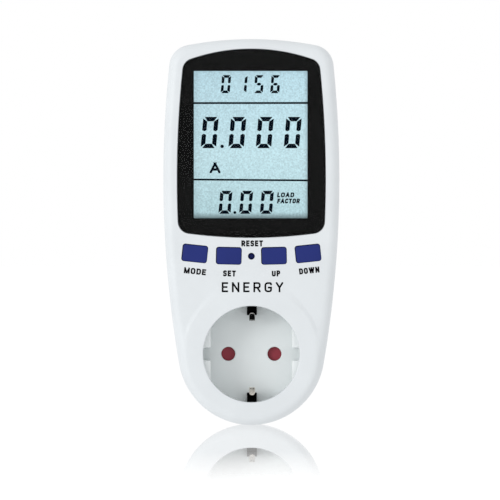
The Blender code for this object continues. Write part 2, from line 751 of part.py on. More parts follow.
def socket_insert():
    mouth = FRONT_INNER_Y + GAP
    back = FLOOR_Y + FLOOR_THICKNESS
    cup = prism("socket_insert", circle(INSERT_RADIUS, 40), mouth, back, "socket_plastic", smooth=True)
    well = keyed_circle(RECESS_RADIUS, LEDGE_X, LEDGE_NOTCH)
    cut(cup, prism("socket_well", well, mouth - 5, FLOOR_Y))
    for side in (-1, 1):
        hole = circle(PIN_HOLE_RADIUS, 20, (side * PIN_X, 0))
        cut(cup, prism(f"pin_hole_{side}", hole, FLOOR_Y - 3, back + 3))
        depth = 8.0
        window = rectangle(CLIP_WINDOW_WIDTH, depth, (0, side * (CLIP_WINDOW_LOW + depth / 2)))
        cut(cup, prism(f"clip_window_{side}", window, CLIP_WINDOW_FRONT_Y, back + 3))


def shutter():
    back = SHUTTER_FRONT_Y + SHUTTER_THICKNESS
    plate = prism("socket_shutter", shutter_outline(), SHUTTER_FRONT_Y, back, "shutter_red")
    cut(plate, prism("axle_hole", circle(AXLE_RADIUS + 0.3, 16), SHUTTER_FRONT_Y - 2, back + 2))


def shutter_spring():
    """A torsion spring round the axle, in the carrier's well."""
    turns, per_turn, radius, pitch, wire = 2.25, 12, 2.9, 0.95, 0.24
    count = int(turns * per_turn)
    curve = bpy.data.curves.new("shutter_spring", "CURVE")
    curve.dimensions = "3D"
    curve.bevel_depth = wire * MM
    curve.bevel_resolution = 1
    curve.use_fill_caps = True
    line = curve.splines.new("POLY")
    line.points.add(count)
    start = CARRIER_FRONT_Y + 0.5
    for i in range(count + 1):
        turn = 2 * math.pi * i / per_turn
        y = start + pitch * i / per_turn
        point = (radius * math.cos(turn) * MM, y * MM, radius * math.sin(turn) * MM)
        line.points[i].co = (*point, 1.0)
    curve.materials.append(bpy.data.materials["steel_zinc"])
    spring = bpy.data.objects.new("shutter_spring", curve)
    bpy.context.scene.collection.objects.link(spring)


def contact_carrier():
    outline = circle(CARRIER_RADIUS, 28)
    block = prism("contact_carrier", outline, CARRIER_FRONT_Y, CARRIER_BACK_Y, "carrier_plastic")
    spring_well = circle(4.4, 16)
    cut(block, prism("spring_well", spring_well, CARRIER_FRONT_Y - 2, CARRIER_FRONT_Y + 3.2))
    join(block, prism("axle", circle(AXLE_RADIUS, 12), SHUTTER_FRONT_Y + 0.2, CARRIER_FRONT_Y + 5))
    leg_radius, leg_x, leg_z = 1.6, 14.0, 6.0
    for side_x in (-1, 1):
        bore = circle(CONTACT_BORE_RADIUS, 16, (side_x * PIN_X, 0))
        cut(block, prism(f"contact_bore_{side_x}", bore, CARRIER_FRONT_Y - 2, CARRIER_BACK_Y + 2))
        for side_z in (-1, 1):
            leg = circle(leg_radius, 8, (side_x * leg_x, side_z * leg_z))
            guide = prism(f"leg_{side_x}_{side_z}", leg, CARRIER_BACK_Y - 2, BACK_INNER_Y - GAP)
            join(block, guide)


def mains_parts():
    """For each pole: the split contact with its tab, the plug pin and the busbar from pin to board."""
    board_back = MAIN_BOARD_Y + BOARD_THICKNESS + GAP
    for x, pole in ((-PIN_X, "line"), (PIN_X, "neutral")):
        section = moved(open_ring(CONTACT_RADIUS, CONTACT_WALL), x, 0)
        contact = prism(f"{pole}_contact", section, CONTACT_FRONT_Y, CONTACT_BACK_Y, "contact_brass")
        tab_y = CONTACT_BACK_Y - STRIP_THICKNESS
        tab = [(tab_y, CONTACT_RADIUS - 0.5), (tab_y, 31.0), (board_back, 31.0)]
        join(contact, bent_strip(f"{pole}_tab", tab, TAB_WIDTH - 0.4, None, x=x))
        busbar = [(BUSBAR_Y, -3.0), (BUSBAR_Y, 35.5), (board_back, 35.5)]
        bent_strip(f"{pole}_busbar", busbar, TAB_WIDTH, "contact_brass", x=x)
        nose = [
            (PIN_RADIUS * math.cos(turn), PIN_LENGTH - PIN_RADIUS * 0.8 * (1 - math.sin(turn)))
            for turn in (math.radians(d) for d in (75, 50, 25, 0))
        ]
        flange_back = -PLUG_FACE_WALL - GAP
        profile = nose + [
            (PIN_RADIUS, flange_back),
            (3.4, flange_back),
            (3.4, flange_back - 1.2),
            (PIN_RADIUS, flange_back - 1.2),
            (PIN_RADIUS, PIN_TAIL_Y),
        ]
        turned(f"{pole}_pin", profile, "nickel_plate", (x, 0), steps=16)

    carrier = prism("pin_carrier", circle(PLUG_CAVITY_RADIUS - GAP, 24), -13.8, -4.8, "carrier_plastic")
    for side in (-1, 1):
        hole = circle(PIN_RADIUS + GAP, 16, (side * PIN_X, 0))
        cut(carrier, prism(f"pin_carrier_hole_{side}", hole, -20.0, 0.0))


def earth_parts():
    arm, jog, inner_y = CLIP_ROOT_Z, 12.0, -16.2
    jog_y = -23.0
    half = [(CLIP_ROOT_Y + 0.6, arm), (jog_y, arm), (jog_y, jog), (inner_y, jog)]
    strap = half + [(y, -z) for y, z in reversed(half)]
    bent_strip("earth_strap", strap, 3.6, "contact_brass")
    leg_y, leg_end, strip_z = -15.1, 10.5, 17.0
    for side, label in ((1, "top"), (-1, "bottom")):
        strip = [(leg_y, side * leg_end), (leg_y, side * strip_z), (-1.0, side * strip_z)]
        bent_strip(f"plug_earth_{label}", strip, EARTH_STRIP_WIDTH, "nickel_plate")
        clip = [
            (CLIP_ROOT_Y, side * CLIP_ROOT_Z),
            (-46.4, side * CLIP_ROOT_Z),
            (-50.2, side * 13.2),
            (-53.4, side * 17.0),
        ]
        root = (0.0, CLIP_ROOT_Y, side * CLIP_ROOT_Z)
        bent_strip(f"earth_clip_{label}", clip, CLIP_WIDTH, "nickel_plate", origin=root)


def main():
    clear_scene()
    make_materials()
    front_housing()
    rear_housing()
    rating_label()
    display_parts()
    display_board()
    main_board()
    housing_screws()
    for name, x, z, tilt in BUTTONS:
        push_button(name, x, z, tilt)
    reset_button()
    socket_insert()
    shutter()
    shutter_spring()
    contact_carrier()
    mains_parts()
    earth_parts()


main()
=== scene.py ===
"""Looks of the plug-in power meter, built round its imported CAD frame.

Sizes are in millimetres in the frame's own axes: the origin is the centre of the plug's face,
+Y points into the wall, -Y towards the reader and +Z up. Outlines are lists of (x, z).
"""

import json
import math

import bmesh
import bpy
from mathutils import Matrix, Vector
from mathutils.geometry import convex_hull_2d, delaunay_2d_cdt


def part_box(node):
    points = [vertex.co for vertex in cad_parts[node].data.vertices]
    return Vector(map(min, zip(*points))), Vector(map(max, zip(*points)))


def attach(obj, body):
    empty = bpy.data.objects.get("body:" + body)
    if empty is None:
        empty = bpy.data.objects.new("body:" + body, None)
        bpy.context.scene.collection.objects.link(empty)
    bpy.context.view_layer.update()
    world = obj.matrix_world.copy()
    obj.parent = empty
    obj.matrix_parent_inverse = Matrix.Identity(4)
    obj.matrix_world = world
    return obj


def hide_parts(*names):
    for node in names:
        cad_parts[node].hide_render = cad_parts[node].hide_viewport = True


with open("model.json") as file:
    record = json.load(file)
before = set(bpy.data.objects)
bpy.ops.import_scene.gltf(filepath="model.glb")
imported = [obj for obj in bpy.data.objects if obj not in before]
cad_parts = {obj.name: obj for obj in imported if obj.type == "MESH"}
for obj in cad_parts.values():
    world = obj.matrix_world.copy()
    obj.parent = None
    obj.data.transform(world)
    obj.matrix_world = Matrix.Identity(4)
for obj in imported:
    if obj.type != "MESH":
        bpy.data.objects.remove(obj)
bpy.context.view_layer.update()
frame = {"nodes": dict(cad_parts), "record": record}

MM = 0.001
ROOT = "meter"
CORNER_STEPS = 6


def low(node):
    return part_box(node)[0] / MM


def high(node):
    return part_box(node)[1] / MM


def centre(node):
    return (low(node) + high(node)) / 2


def depths(node):
    """Where a node starts and ends along Y."""
    return low(node).y, high(node).y


# --- sizes, read from the frame where it has them ---

COLLAR_PROUD = 0.5
COLLAR_RADIUS = 28.2
FACE_Y = low("front_housing").y + COLLAR_PROUD
FRONT_WALL = 3.0
FRONT_INNER_Y = FACE_Y + FRONT_WALL
BACK_Y = -18.0
BACK_INNER_Y = BACK_Y - 2.2
SEAM_LIP = 1.8
SEAM_Y = low("rear_housing").y + SEAM_LIP
SEAM_GAP = 0.3
SEAM_CHAMFER = 0.12
SIDE_WALL = 2.2
FRONT_EDGE_RADIUS = 4.0
BACK_EDGE_RADIUS = 3.0

SIDE_RADIUS = 450.0
HALF_WIDTH = 36.1
WIDEST_Z = 72.0
BOTTOM_CENTRE = (0.0, 1.0)
TOP_Z = 129.2
TOP_RADIUS = 140.0
TOP_CORNER_RADIUS = 9.0

LENS_BORDER = 5.7
LENS_TOP_Z = 125.1
LENS_TOP_RADIUS = 76.0
LENS_BOTTOM_Z = 47.8
LENS_BOTTOM_RADIUS = 195.0
LENS_CORNER_RADIUS = 5.0
POCKET_DEPTH = 1.9

WINDOW_X = -0.3
WINDOW_WIDTH = 46.6
WINDOW_LOW_Z = 55.7
WINDOW_HIGH_Z = 116.1
WINDOW_MID_Z = (WINDOW_LOW_Z + WINDOW_HIGH_Z) / 2
WINDOW_HEIGHT = WINDOW_HIGH_Z - WINDOW_LOW_Z
LCD_FRONT_Y = low("lcd_panel").y
DIGIT_SLANT_DEG = 5.0
INK_THICKNESS = 0.03

# The name and tilt of each button.
BUTTONS = (("mode", -6.0), ("set", -1.3), ("up", 1.3), ("down", 6.0))
BUTTON_WIDTH = 10.3
BUTTON_HEIGHT = 6.95
BUTTON_CORNER = 1.0
BUTTON_GAP = 0.13
# How far a cap sits from the middle of its hole.
BUTTON_SAG = (0.08, -0.08)
BUTTON_STEM = 3.2
FLANGE_FRONT = FRONT_INNER_Y + 0.3
FLANGE_BACK = FRONT_INNER_Y + 1.1
RESET_RADIUS = 1.15

PIN_X = 9.5
RECESS_RADIUS = 19.75
FLOOR_Y = high("socket_insert").y - 2.0
LEDGE_X = 16.7
LEDGE_NOTCH = 2.6
LEDGE_FRONT_Y = -56.5
PIN_HOLE_RADIUS = 2.85
CLIP_WINDOW_WIDTH = 4.1
CLIP_WINDOW_X = 0.2
CLIP_WINDOW_LOW = 15.9
CLIP_WINDOW_HEIGHT = 8.0
CLIP_WINDOW_FRONT_Y = -55.4
CLIP_X = 0.3
PLUG_RADIUS = 19.0
PLUG_FLAT_X = 16.3
PLUG_RIB = 2.2
PLUG_CAVITY_RADIUS = 13.2
PLUG_WALL = 3.0
PIN_RADIUS = 2.4
# Half the width of the plug's earth slots, and their distance from its middle.
EARTH_SLOT = (3.2, 16.2)
ENDS = ((1, "top"), (-1, "bottom"))

POST_MEET_Y = -33.0
HEAD_FLOOR_Y = -30.5
SCREW_BORE_RADIUS = 1.6
FRONT_BORE_Y = -47.0
LABEL_POCKET = (44.6, 50.6)


# --- outlines ---


def arc(middle, radius, start_deg, end_deg, steps):
    """Points on an arc, both ends included."""
    x, z = middle
    turns = [math.radians(start_deg + (end_deg - start_deg) * i / steps) for i in range(steps + 1)]
    return [(x + radius * math.cos(turn), z + radius * math.sin(turn)) for turn in turns]


def circle(radius, steps, middle=(0.0, 0.0)):
    return arc(middle, radius, 0.0, 360.0, steps)[:-1]


def without_repeats(points):
    kept = []
    for point in points:
        if not kept or math.dist(point, kept[-1]) > 1e-6:
            kept.append(point)
    return kept


def both_sides(right_half):
    """A closed outline from its right half, which runs from the bottom centre to the top centre."""
    points = without_repeats(right_half)
    return points + [(-x, z) for x, z in reversed(points[1:-1])]


def angle_deg(middle, point):
    return math.degrees(math.atan2(point[1] - middle[1], point[0] - middle[0]))


def corner_centre(side, side_radius, end, end_radius, corner_radius, above):
    """Centre of the corner arc inside both the side circle and the end circle."""
    a, b = side_radius - corner_radius, end_radius - corner_radius
    gap = math.dist(side, end)
    along = (a * a - b * b + gap * gap) / (2 * gap)
    across = math.sqrt(a * a - along * along) * (1 if above else -1)
    ux, uz = (end[0] - side[0]) / gap, (end[1] - side[1]) / gap
    return side[0] + along * ux - across * uz, side[1] + along * uz + across * ux


def tangent_arcs(arcs, inset):
    """A closed outline whose right half follows arcs that touch, from the bottom to the top.

    Each arc is (middle, radius, steps). Two arcs touch on the line through their middles.
    """
    turns = [-90.0]
    for pair in zip(arcs, arcs[1:]):
        small, large = sorted(pair, key=lambda item: item[1])
        turns.append(angle_deg(large[0], small[0]))
    turns.append(90.0)
    points = []
    for (middle, radius, steps), start, end in zip(arcs, turns, turns[1:]):
        points += arc(middle, radius - inset, start, end, steps)
    return both_sides(points)


SIDE_CENTRE = (HALF_WIDTH - SIDE_RADIUS, WIDEST_Z)
BOTTOM_RADIUS = SIDE_RADIUS - math.dist(SIDE_CENTRE, BOTTOM_CENTRE)
TOP_CENTRE = (0.0, TOP_Z - TOP_RADIUS)
TOP_CORNER = corner_centre(SIDE_CENTRE, SIDE_RADIUS, TOP_CENTRE, TOP_RADIUS, TOP_CORNER_RADIUS, True)


def body_outline(inset=0.0):
    """The body seen from the front, drawn inwards by inset."""
    bottom = (BOTTOM_CENTRE, BOTTOM_RADIUS, 36)
    side = (SIDE_CENTRE, SIDE_RADIUS, 24)
    corner = (TOP_CORNER, TOP_CORNER_RADIUS, 14)
    return tangent_arcs((bottom, side, corner, (TOP_CENTRE, TOP_RADIUS, 8)), inset)


def lens_outline(inset=0.0):
    """The display lens: the body's sides drawn in by the border, arched above and below."""
    side = (SIDE_CENTRE, SIDE_RADIUS - LENS_BORDER)
    top = ((0.0, LENS_TOP_Z - LENS_TOP_RADIUS), LENS_TOP_RADIUS)
    bottom = ((0.0, LENS_BOTTOM_Z + LENS_BOTTOM_RADIUS), LENS_BOTTOM_RADIUS)
    radius = LENS_CORNER_RADIUS
    upper = (corner_centre(*side, *top, radius, True), radius)
    lower = (corner_centre(*side, *bottom, radius, False), radius)
    arcs = ((*bottom, 10), (*lower, 10), (*side, 12), (*upper, 10), (*top, 12))
    return tangent_arcs(arcs, inset)


def placed(points, middle, tilt_deg):
    """Points turned about the origin by tilt_deg, then moved to middle."""
    (left, low_z), turn = middle, math.radians(tilt_deg)
    c, s = math.cos(turn), math.sin(turn)
    return [(left + x * c - z * s, low_z + x * s + z * c) for x, z in points]


def rectangle(width, height, middle=(0.0, 0.0), corner=0.0, tilt_deg=0.0):
    """A rectangle, with round corners if corner is over 0, turned by tilt_deg."""
    right, top = width / 2 - corner, height / 2 - corner
    points = []
    for x, z, start in ((right, top, 0), (-right, top, 90), (-right, -top, 180), (right, -top, 270)):
        points += arc((x, z), corner, start, start + 90, CORNER_STEPS) if corner else [(x, z)]
    return placed(points, middle, tilt_deg)


def keyed_circle(radius, flat_x, rib, slot_half_width=0.0, slot_low=0.0, steps=18):
    """A circle cut flat at x = +-flat_x, but for a rib that reaches the circle.

    With a slot, it is also notched at top and bottom, down to slot_low from the centre.
    """
    flat_end, notch_end = (math.degrees(math.acos(x / radius)) for x in (flat_x, slot_half_width))
    rib_end = math.degrees(math.asin(rib / radius))
    upper = [(flat_x, rib)] + arc((0, 0), radius, flat_end, notch_end, steps)
    if slot_half_width:
        upper += [(slot_half_width, slot_low), (0.0, slot_low)]
    lower = [(x, -z) for x, z in upper[::-1]]
    return both_sides(lower + arc((0, 0), radius, -rib_end, rib_end, steps // 4) + upper)


def corner_curve(before, corner, after, radius, share, steps):
    """A curve in place of a corner. It starts radius away, or at this share of a shorter side."""
    reach = min(radius, share * math.dist(before, corner), share * math.dist(corner, after))
    start, end = (
        tuple(c + (p - c) * reach / math.dist(corner, other) for c, p in zip(corner, other))
        for other in (before, after)
    )
    shares = [i / steps for i in range(steps + 1)]
    curve = [((1 - t) ** 2, 2 * t * (1 - t), t * t) for t in shares]
    axes = list(zip(start, corner, end))
    return [tuple(sum(w * p for w, p in zip(weights, axis)) for axis in axes) for weights in curve]


def softened(points, radius, steps=4):
    """A closed outline whose sharp corners are rounded by about this radius."""
    soft = []
    for i, corner in enumerate(points):
        before, after = points[i - 1], points[(i + 1) % len(points)]
        turn = math.radians(angle_deg(corner, after) - angle_deg(before, corner))
        turn = abs(math.atan2(math.sin(turn), math.cos(turn)))
        if turn < math.radians(20):
            soft.append(corner)
        else:
            soft += corner_curve(before, corner, after, radius, 0.45, steps)
    return soft


def grown(points, distance):
    """A closed anticlockwise outline moved outwards by distance."""
    moved = []
    for i, point in enumerate(points):
        before, after = points[i - 1], points[(i + 1) % len(points)]
        first = Vector((point[0] - before[0], point[1] - before[1])).normalized()
        second = Vector((after[0] - point[0], after[1] - point[1])).normalized()
        across = Vector((first.y + second.y, -first.x - second.x))
        across *= 2 * distance / max(across.length_squared, 0.5)
        moved.append((point[0] + across.x, point[1] + across.y))
    return moved


def rounded_path(points, radius, steps):
    """A path whose inner corners are replaced by curves that begin this far from the corner."""
    path = [points[0]]
    for before, corner, after in zip(points, points[1:], points[2:]):
        path += corner_curve(before, corner, after, radius, 0.5, steps)
    return path + [points[-1]]


def ribbon_outline(path, thickness):
    """The closed outline of a strip of this thickness along a path."""
    left, right = [], []
    for i, point in enumerate(path):
        before, after = path[max(i - 1, 0)], path[min(i + 1, len(path) - 1)]
        length = math.dist(before, after)
        across = (-(after[1] - before[1]) / length, (after[0] - before[0]) / length)
        left.append(tuple(p + a * thickness / 2 for p, a in zip(point, across)))
        right.append(tuple(p - a * thickness / 2 for p, a in zip(point, across)))
    return left + right[::-1]


# --- solids ---


def at_depth(outline, y):
    return [(x, y, z) for x, z in outline]


def fill_with_points(work, loop, extra):
    """Fills a loop at one depth with triangles that also use the extra (x, z) points."""
    y = loop[0].co.y
    flat = [Vector((vert.co.x, vert.co.z)) / MM for vert in loop]
    flat += [Vector(point) for point in extra]
    edges = [(i, (i + 1) % len(loop)) for i in range(len(loop))]
    points, _, faces, sources, _, _ = delaunay_2d_cdt(flat, edges, [], 1, 1e-6)
    verts = []
    for point, source in zip(points, sources):
        known = [i for i in source if i < len(loop)]
        new_place = (point.x * MM, y, point.y * MM)
        verts.append(loop[known[0]] if known else work.verts.new(new_place))
    for face in faces:
        work.faces.new([verts[i] for i in face])


def add_object(name, data):
    made = bpy.data.objects.new(name, data)
    bpy.context.scene.collection.objects.link(made)
    return made


def solid_from(work):
    """A new object with the faces drawn in work, all turned outwards."""
    bmesh.ops.recalc_face_normals(work, faces=work.faces)
    mesh = bpy.data.meshes.new("solid")
    work.to_mesh(mesh)
    work.free()
    return add_object("solid", mesh)


def loft(rings, extra_points=None):
    """A closed solid through rings of equal length, each a list of (x, y, z), capped at its ends."""
    work = bmesh.new()
    loops = [[work.verts.new([p * MM for p in point]) for point in ring] for ring in rings]
    for first, second in zip(loops, loops[1:]):
        for i in range(len(first)):
            j = (i + 1) % len(first)
            work.faces.new((first[i], first[j], second[j], second[i]))
    if extra_points:
        fill_with_points(work, loops[0], extra_points)
    else:
        work.faces.new(loops[0])
    work.faces.new(loops[-1])
    return solid_from(work)


def prism(outline, y_front, y_back):
    return loft([at_depth(outline, y_front), at_depth(outline, y_back)])


def turned(profile, middle, steps):
    """A round solid along Y through (radius, y) pairs."""
    return loft([at_depth(circle(radius, steps, middle), y) for radius, y in profile])


def strip(path, width, thickness, middle_x=0.0):
    """A strip bent in the Y-Z plane along (y, z) points."""
    outline = ribbon_outline(path, thickness)
    sides = (middle_x - width / 2, middle_x + width / 2)
    return loft([[(x, y, z) for y, z in outline] for x in sides])


def quarter(radius, steps=5):
    """(inset, depth) pairs of a rounded edge, from the face to the side."""
    return [(radius - z, radius - x) for x, z in arc((0, 0), radius, 0, 90, steps)]


def opening(outline, rim_y, edge_radius, end_y):
    """A cutter for an opening with a rounded rim. It cuts from the reader's side down to end_y."""
    towards = 1 if end_y > rim_y else -1
    flare = [(edge_radius, rim_y - 6.0 * towards)]
    flare += [(inset, rim_y + depth * towards) for inset, depth in quarter(edge_radius)]
    rings = [at_depth(grown(outline, inset), y) for inset, y in flare]
    return loft(rings + [at_depth(outline, end_y)])


def modify(target, kind, **settings):
    """Applies one modifier to a mesh for good."""
    modifier = target.modifiers.new(kind, kind)
    for name, value in settings.items():
        setattr(modifier, name, value)
    graph = bpy.context.evaluated_depsgraph_get()
    mesh = bpy.data.meshes.new_from_object(target.evaluated_get(graph))
    target.modifiers.clear()
    target.data = mesh


def combine(target, other, operation):
    """Combines two solids into the first and removes the other."""
    modify(target, "BOOLEAN", operation=operation, solver="EXACT", object=other)
    bpy.data.objects.remove(other, do_unlink=True)


def cut(target, cutter):
    combine(target, cutter, "DIFFERENCE")


def join(target, other):
    combine(target, other, "UNION")


def bevel(target, width, segments=2, clamp=True):
    limit = {"limit_method": "ANGLE", "angle_limit": math.radians(35), "use_clamp_overlap": clamp}
    modify(target, "BEVEL", width=width * MM, segments=segments, **limit)


def finish_piece(piece, name, material, body=ROOT, replaces=(), sharp_deg=38, weighted=True):
    """Names and shades a piece, gives it its material and puts it on its body."""
    piece.name = name
    piece.data.materials.clear()
    piece.data.materials.append(material)
    piece.data.shade_smooth()
    piece.data.set_sharp_from_angle(angle=math.radians(sharp_deg))
    if weighted:
        modifier = piece.modifiers.new("weighted", "WEIGHTED_NORMAL")
        modifier.keep_sharp = True
        modifier.weight = 80
    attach(piece, body)
    if replaces:
        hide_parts(*replaces)


# --- materials ---


class Nodes:
    """A new material, and a short way to add, set and link its shader nodes."""

    def __init__(self, name):
        self.material = bpy.data.materials.new(name)
        self.material.use_nodes = True
        self.tree = self.material.node_tree
        self.shader = self.tree.nodes["Principled BSDF"]
        self.coordinates = self.add("TexCoord", "Object")

    def feed(self, node, inputs):
        """Gives each input a value, a colour, or a link from another node's output."""
        for name, value in inputs.items():
            socket = node.inputs[name]
            if isinstance(value, bpy.types.NodeSocket):
                self.tree.links.new(value, socket)
            else:
                socket.default_value = (*value, 1.0) if socket.type == "RGBA" else value

    def add(self, kind, output, inputs=None, **settings):
        """Adds a node and gives back one of its outputs."""
        node = self.tree.nodes.new(f"ShaderNode{kind}")
        for name, value in settings.items():
            setattr(node, name, value)
        self.feed(node, inputs or {})
        return node.outputs[output]

    def stretch(self, scale):
        """Stretches the noise that is added after this."""
        self.coordinates = self.add("Mapping", "Vector", {"Scale": scale, "Vector": self.coordinates})

    def axes(self, vector):
        """The X, Y and Z outputs that a vector splits into."""
        return self.add("SeparateXYZ", "X", {"Vector": vector}).node.outputs

    def noise(self, size_mm, detail=3.0, roughness=0.55):
        """Noise whose features are about size_mm across."""
        inputs = {"Scale": 1 / (size_mm * MM), "Detail": detail, "Roughness": roughness}
        return self.add("TexNoise", "Fac", {**inputs, "Vector": self.coordinates})

    def spread(self, value, low_value, high_value, from_low=0.3, from_high=0.7):
        """A value stretched from one range to another, and kept inside it."""
        source = {"Value": value, "From Min": from_low, "From Max": from_high}
        return self.add("MapRange", "Result", {**source, "To Min": low_value, "To Max": high_value})

    def between(self, factor, first, second):
        return self.add("Mix", "Result", {"Factor": factor, "A": first, "B": second}, data_type="RGBA")

    def product(self, first, *others):
        for other in others:
            first = self.add("Math", "Value", {0: first, 1: other}, operation="MULTIPLY")
        return first

    def scaled(self, colour, factor):
        return self.add("VectorMath", "Vector", {0: colour, "Scale": factor}, operation="SCALE")

    def ramp(self, value, stops):
        """A colour that follows a value through (position, colour) stops."""
        output = self.add("ValToRGB", "Color", {"Fac": value})
        elements = output.node.color_ramp.elements
        elements.remove(elements[1])
        elements[0].position = stops[0][0]
        elements[0].color = (*stops[0][1], 1.0)
        for position, colour in stops[1:]:
            elements.new(position).color = (*colour, 1.0)
        return output

    def bump(self, height, strength, depth_mm):
        inputs = {"Strength": strength, "Distance": depth_mm * MM, "Height": height}
        return self.add("Bump", "Normal", inputs)

    def surface(self, inputs):
        """Feeds the material's own shader and gives back the material."""
        self.feed(self.shader, inputs)
        return self.material

    def mixed_surface(self, share, first, second):
        """Mixes two shaders for the material's surface and gives back the material."""
        mix = self.add("MixShader", "Shader", {"Fac": share, 1: first, 2: second})
        self.feed(self.tree.nodes["Material Output"], {"Surface": mix})
        return self.material


def shade(colour, factor):
    return tuple(channel * factor for channel in colour)


def plastic(name, colour, roughness, grain_mm=0.35, grain_depth=0.006, specular=0.5, mottle=0.02):
    """Moulded plastic: a spark-eroded grain, a faint cloudiness and uneven gloss."""
    nodes = Nodes(name)
    cloud = nodes.spread(nodes.noise(14.0, 2.0), 0.0, 1.0)
    return nodes.surface({
        "Base Color": nodes.between(cloud, shade(colour, 1 - mottle), shade(colour, 1 + mottle)),
        "Roughness": nodes.spread(nodes.noise(3.0, 4.0), roughness - 0.05, roughness + 0.05),
        "Specular IOR Level": specular,
        "Normal": nodes.bump(nodes.noise(grain_mm, 3.0, 0.6), 0.35, grain_depth),
    })


def metal(name, colour, roughness, shaded_face_colour=None):
    """Plated or rolled metal: fine streaks along Y and slightly darker, duller patches.

    With a shaded-face colour given, a face that leans forwards and down takes that colour as painted
    shade, and the edges keep the paler plating as a painted highlight.
    """
    nodes = Nodes(name)
    nodes.stretch((1.0, 0.12, 1.0))
    streaks = nodes.noise(0.12, 2.0, 0.5)
    patches = nodes.spread(nodes.noise(2.2, 1.0), 0.0, 1.0)
    tint = nodes.between(patches, shade(colour, 0.85), colour)
    if shaded_face_colour:
        # Painted shade on faces that lean down, painted highlight on the edges, chosen by the normal's
        # Z.
        lean = nodes.axes(nodes.add("TexCoord", "Normal"))["Z"]
        levels = ((0.0, 0.45), (0.2, 0.3), (0.32, 0.0), (0.4, 0.0), (0.5, 1.0))
        stops = [(position, (level, level, level)) for position, level in levels]
        shine = nodes.ramp(nodes.spread(lean, 0.0, 1.0, -1.0, 0.0), stops)
        tint = nodes.between(shine, shaded_face_colour, tint)
    return nodes.surface({
        "Base Color": tint,
        "Roughness": nodes.spread(streaks, roughness - 0.07, roughness + 0.10),
        "Metallic": 1.0,
        "Normal": nodes.bump(streaks, 0.2, 0.004),
    })


def lens_material():
    """Clear acrylic: what is behind it shows, and its surface mirrors by Fresnel."""
    nodes = Nodes("lens_acrylic")
    nodes.tree.nodes.remove(nodes.shader)
    clear = nodes.add("BsdfTransparent", "BSDF", {"Color": (0.97, 0.98, 0.98)})
    polish = nodes.spread(nodes.noise(9.0, 3.0), 0.015, 0.04)
    gloss = nodes.add("BsdfGlossy", "BSDF", {"Roughness": polish})
    return nodes.mixed_surface(nodes.add("Fresnel", "Fac", {"IOR": 1.12}), clear, gloss)


def lcd_material():
    """The backlit display: paler towards the top, with a fine cell grain. Its bottom and right edges
    are dimmer, partly from the backlight's falloff and partly as painted shade under the window's rim.
    """
    nodes = Nodes("lcd_panel_glow")
    place = nodes.axes(nodes.coordinates)
    low_z, high_z = WINDOW_LOW_Z * MM, WINDOW_HIGH_Z * MM
    edge_x = (WINDOW_WIDTH / 2 + WINDOW_X) * MM
    height = nodes.spread(place["Z"], 0.0, 1.0, low_z, high_z)
    field = nodes.ramp(height, ((0.08, LCD_BOTTOM), (0.42, LCD_MIDDLE), (1.0, LCD_TOP)))
    # Dimmer bottom and right edges: partly backlight falloff, partly painted shade under the window's
    # rim.
    bottom_falloff_and_shade = nodes.spread(place["Z"], 0.3, 1.0, low_z, low_z + 2.6 * MM)
    right_falloff_and_shade = nodes.spread(place["X"], 1.0, 0.75, edge_x - 1.4 * MM, edge_x)
    lamp_side = nodes.spread(place["X"], 0.98, 1.05, -edge_x, edge_x)
    grain = nodes.spread(nodes.noise(0.6, 1.0), 0.86, 1.14)
    glow = nodes.scaled(field, nodes.product(bottom_falloff_and_shade, right_falloff_and_shade, lamp_side, grain))
    return nodes.surface({
        "Base Color": nodes.scaled(glow, 0.3),
        "Emission Color": glow,
        "Emission Strength": 0.76,
        "Roughness": 0.3,
        "Specular IOR Level": 0.2,
    })


def board_material():
    """Solder mask over tracks: a green that lightens where copper lies beneath."""
    nodes = Nodes("board_solder_mask")
    upright = {"Rotation": (math.radians(90), 0.0, 0.0), "Vector": nodes.coordinates}
    tracks = nodes.add("TexBrick", "Color", {
        "Vector": nodes.add("Mapping", "Vector", upright),
        "Scale": 1 / (4.0 * MM),
        "Mortar Size": 0.06,
        "Color1": (0.015, 0.12, 0.05),
        "Color2": (0.02, 0.15, 0.06),
        "Mortar": (0.03, 0.24, 0.10),
    })
    gloss = nodes.spread(nodes.noise(1.0), 0.3, 0.45)
    return nodes.surface({"Base Color": tracks, "Roughness": gloss})


def ink_material(name, colour, roughness=0.6):
    """Printed or liquid-crystal ink: dark, with a slightly uneven density."""
    nodes = Nodes(name)
    density = nodes.spread(nodes.noise(0.4, 2.0), 0.0, 1.0)
    return nodes.surface({
        "Base Color": nodes.between(density, shade(colour, 0.8), shade(colour, 1.2)),
        "Roughness": roughness,
        "Specular IOR Level": 0.0,
    })


def label_material():
    """Brushed silver film."""
    nodes = Nodes("label_silver_film")
    nodes.stretch((0.06, 1.0, 1.0))
    streaks = nodes.spread(nodes.noise(0.4, 4.0), 0.0, 1.0)
    return nodes.surface({
        "Base Color": nodes.between(streaks, (0.50, 0.51, 0.52), (0.60, 0.61, 0.62)),
        "Roughness": nodes.spread(streaks, 0.30, 0.42, 0.0, 1.0),
        "Metallic": 0.6,
    })


WHITE = (1.0, 1.0, 1.0)
LCD_TOP = (0.465, 0.655, 0.735)
LCD_MIDDLE = (0.52, 0.71, 0.765)
LCD_BOTTOM = (0.445, 0.63, 0.675)
HOUSING = plastic("housing_white", (0.630, 0.660, 0.680), 0.42, specular=0.25)
REAR = plastic("housing_rear_white", (0.630, 0.660, 0.680), 0.45, 0.45, 0.010, 0.25)
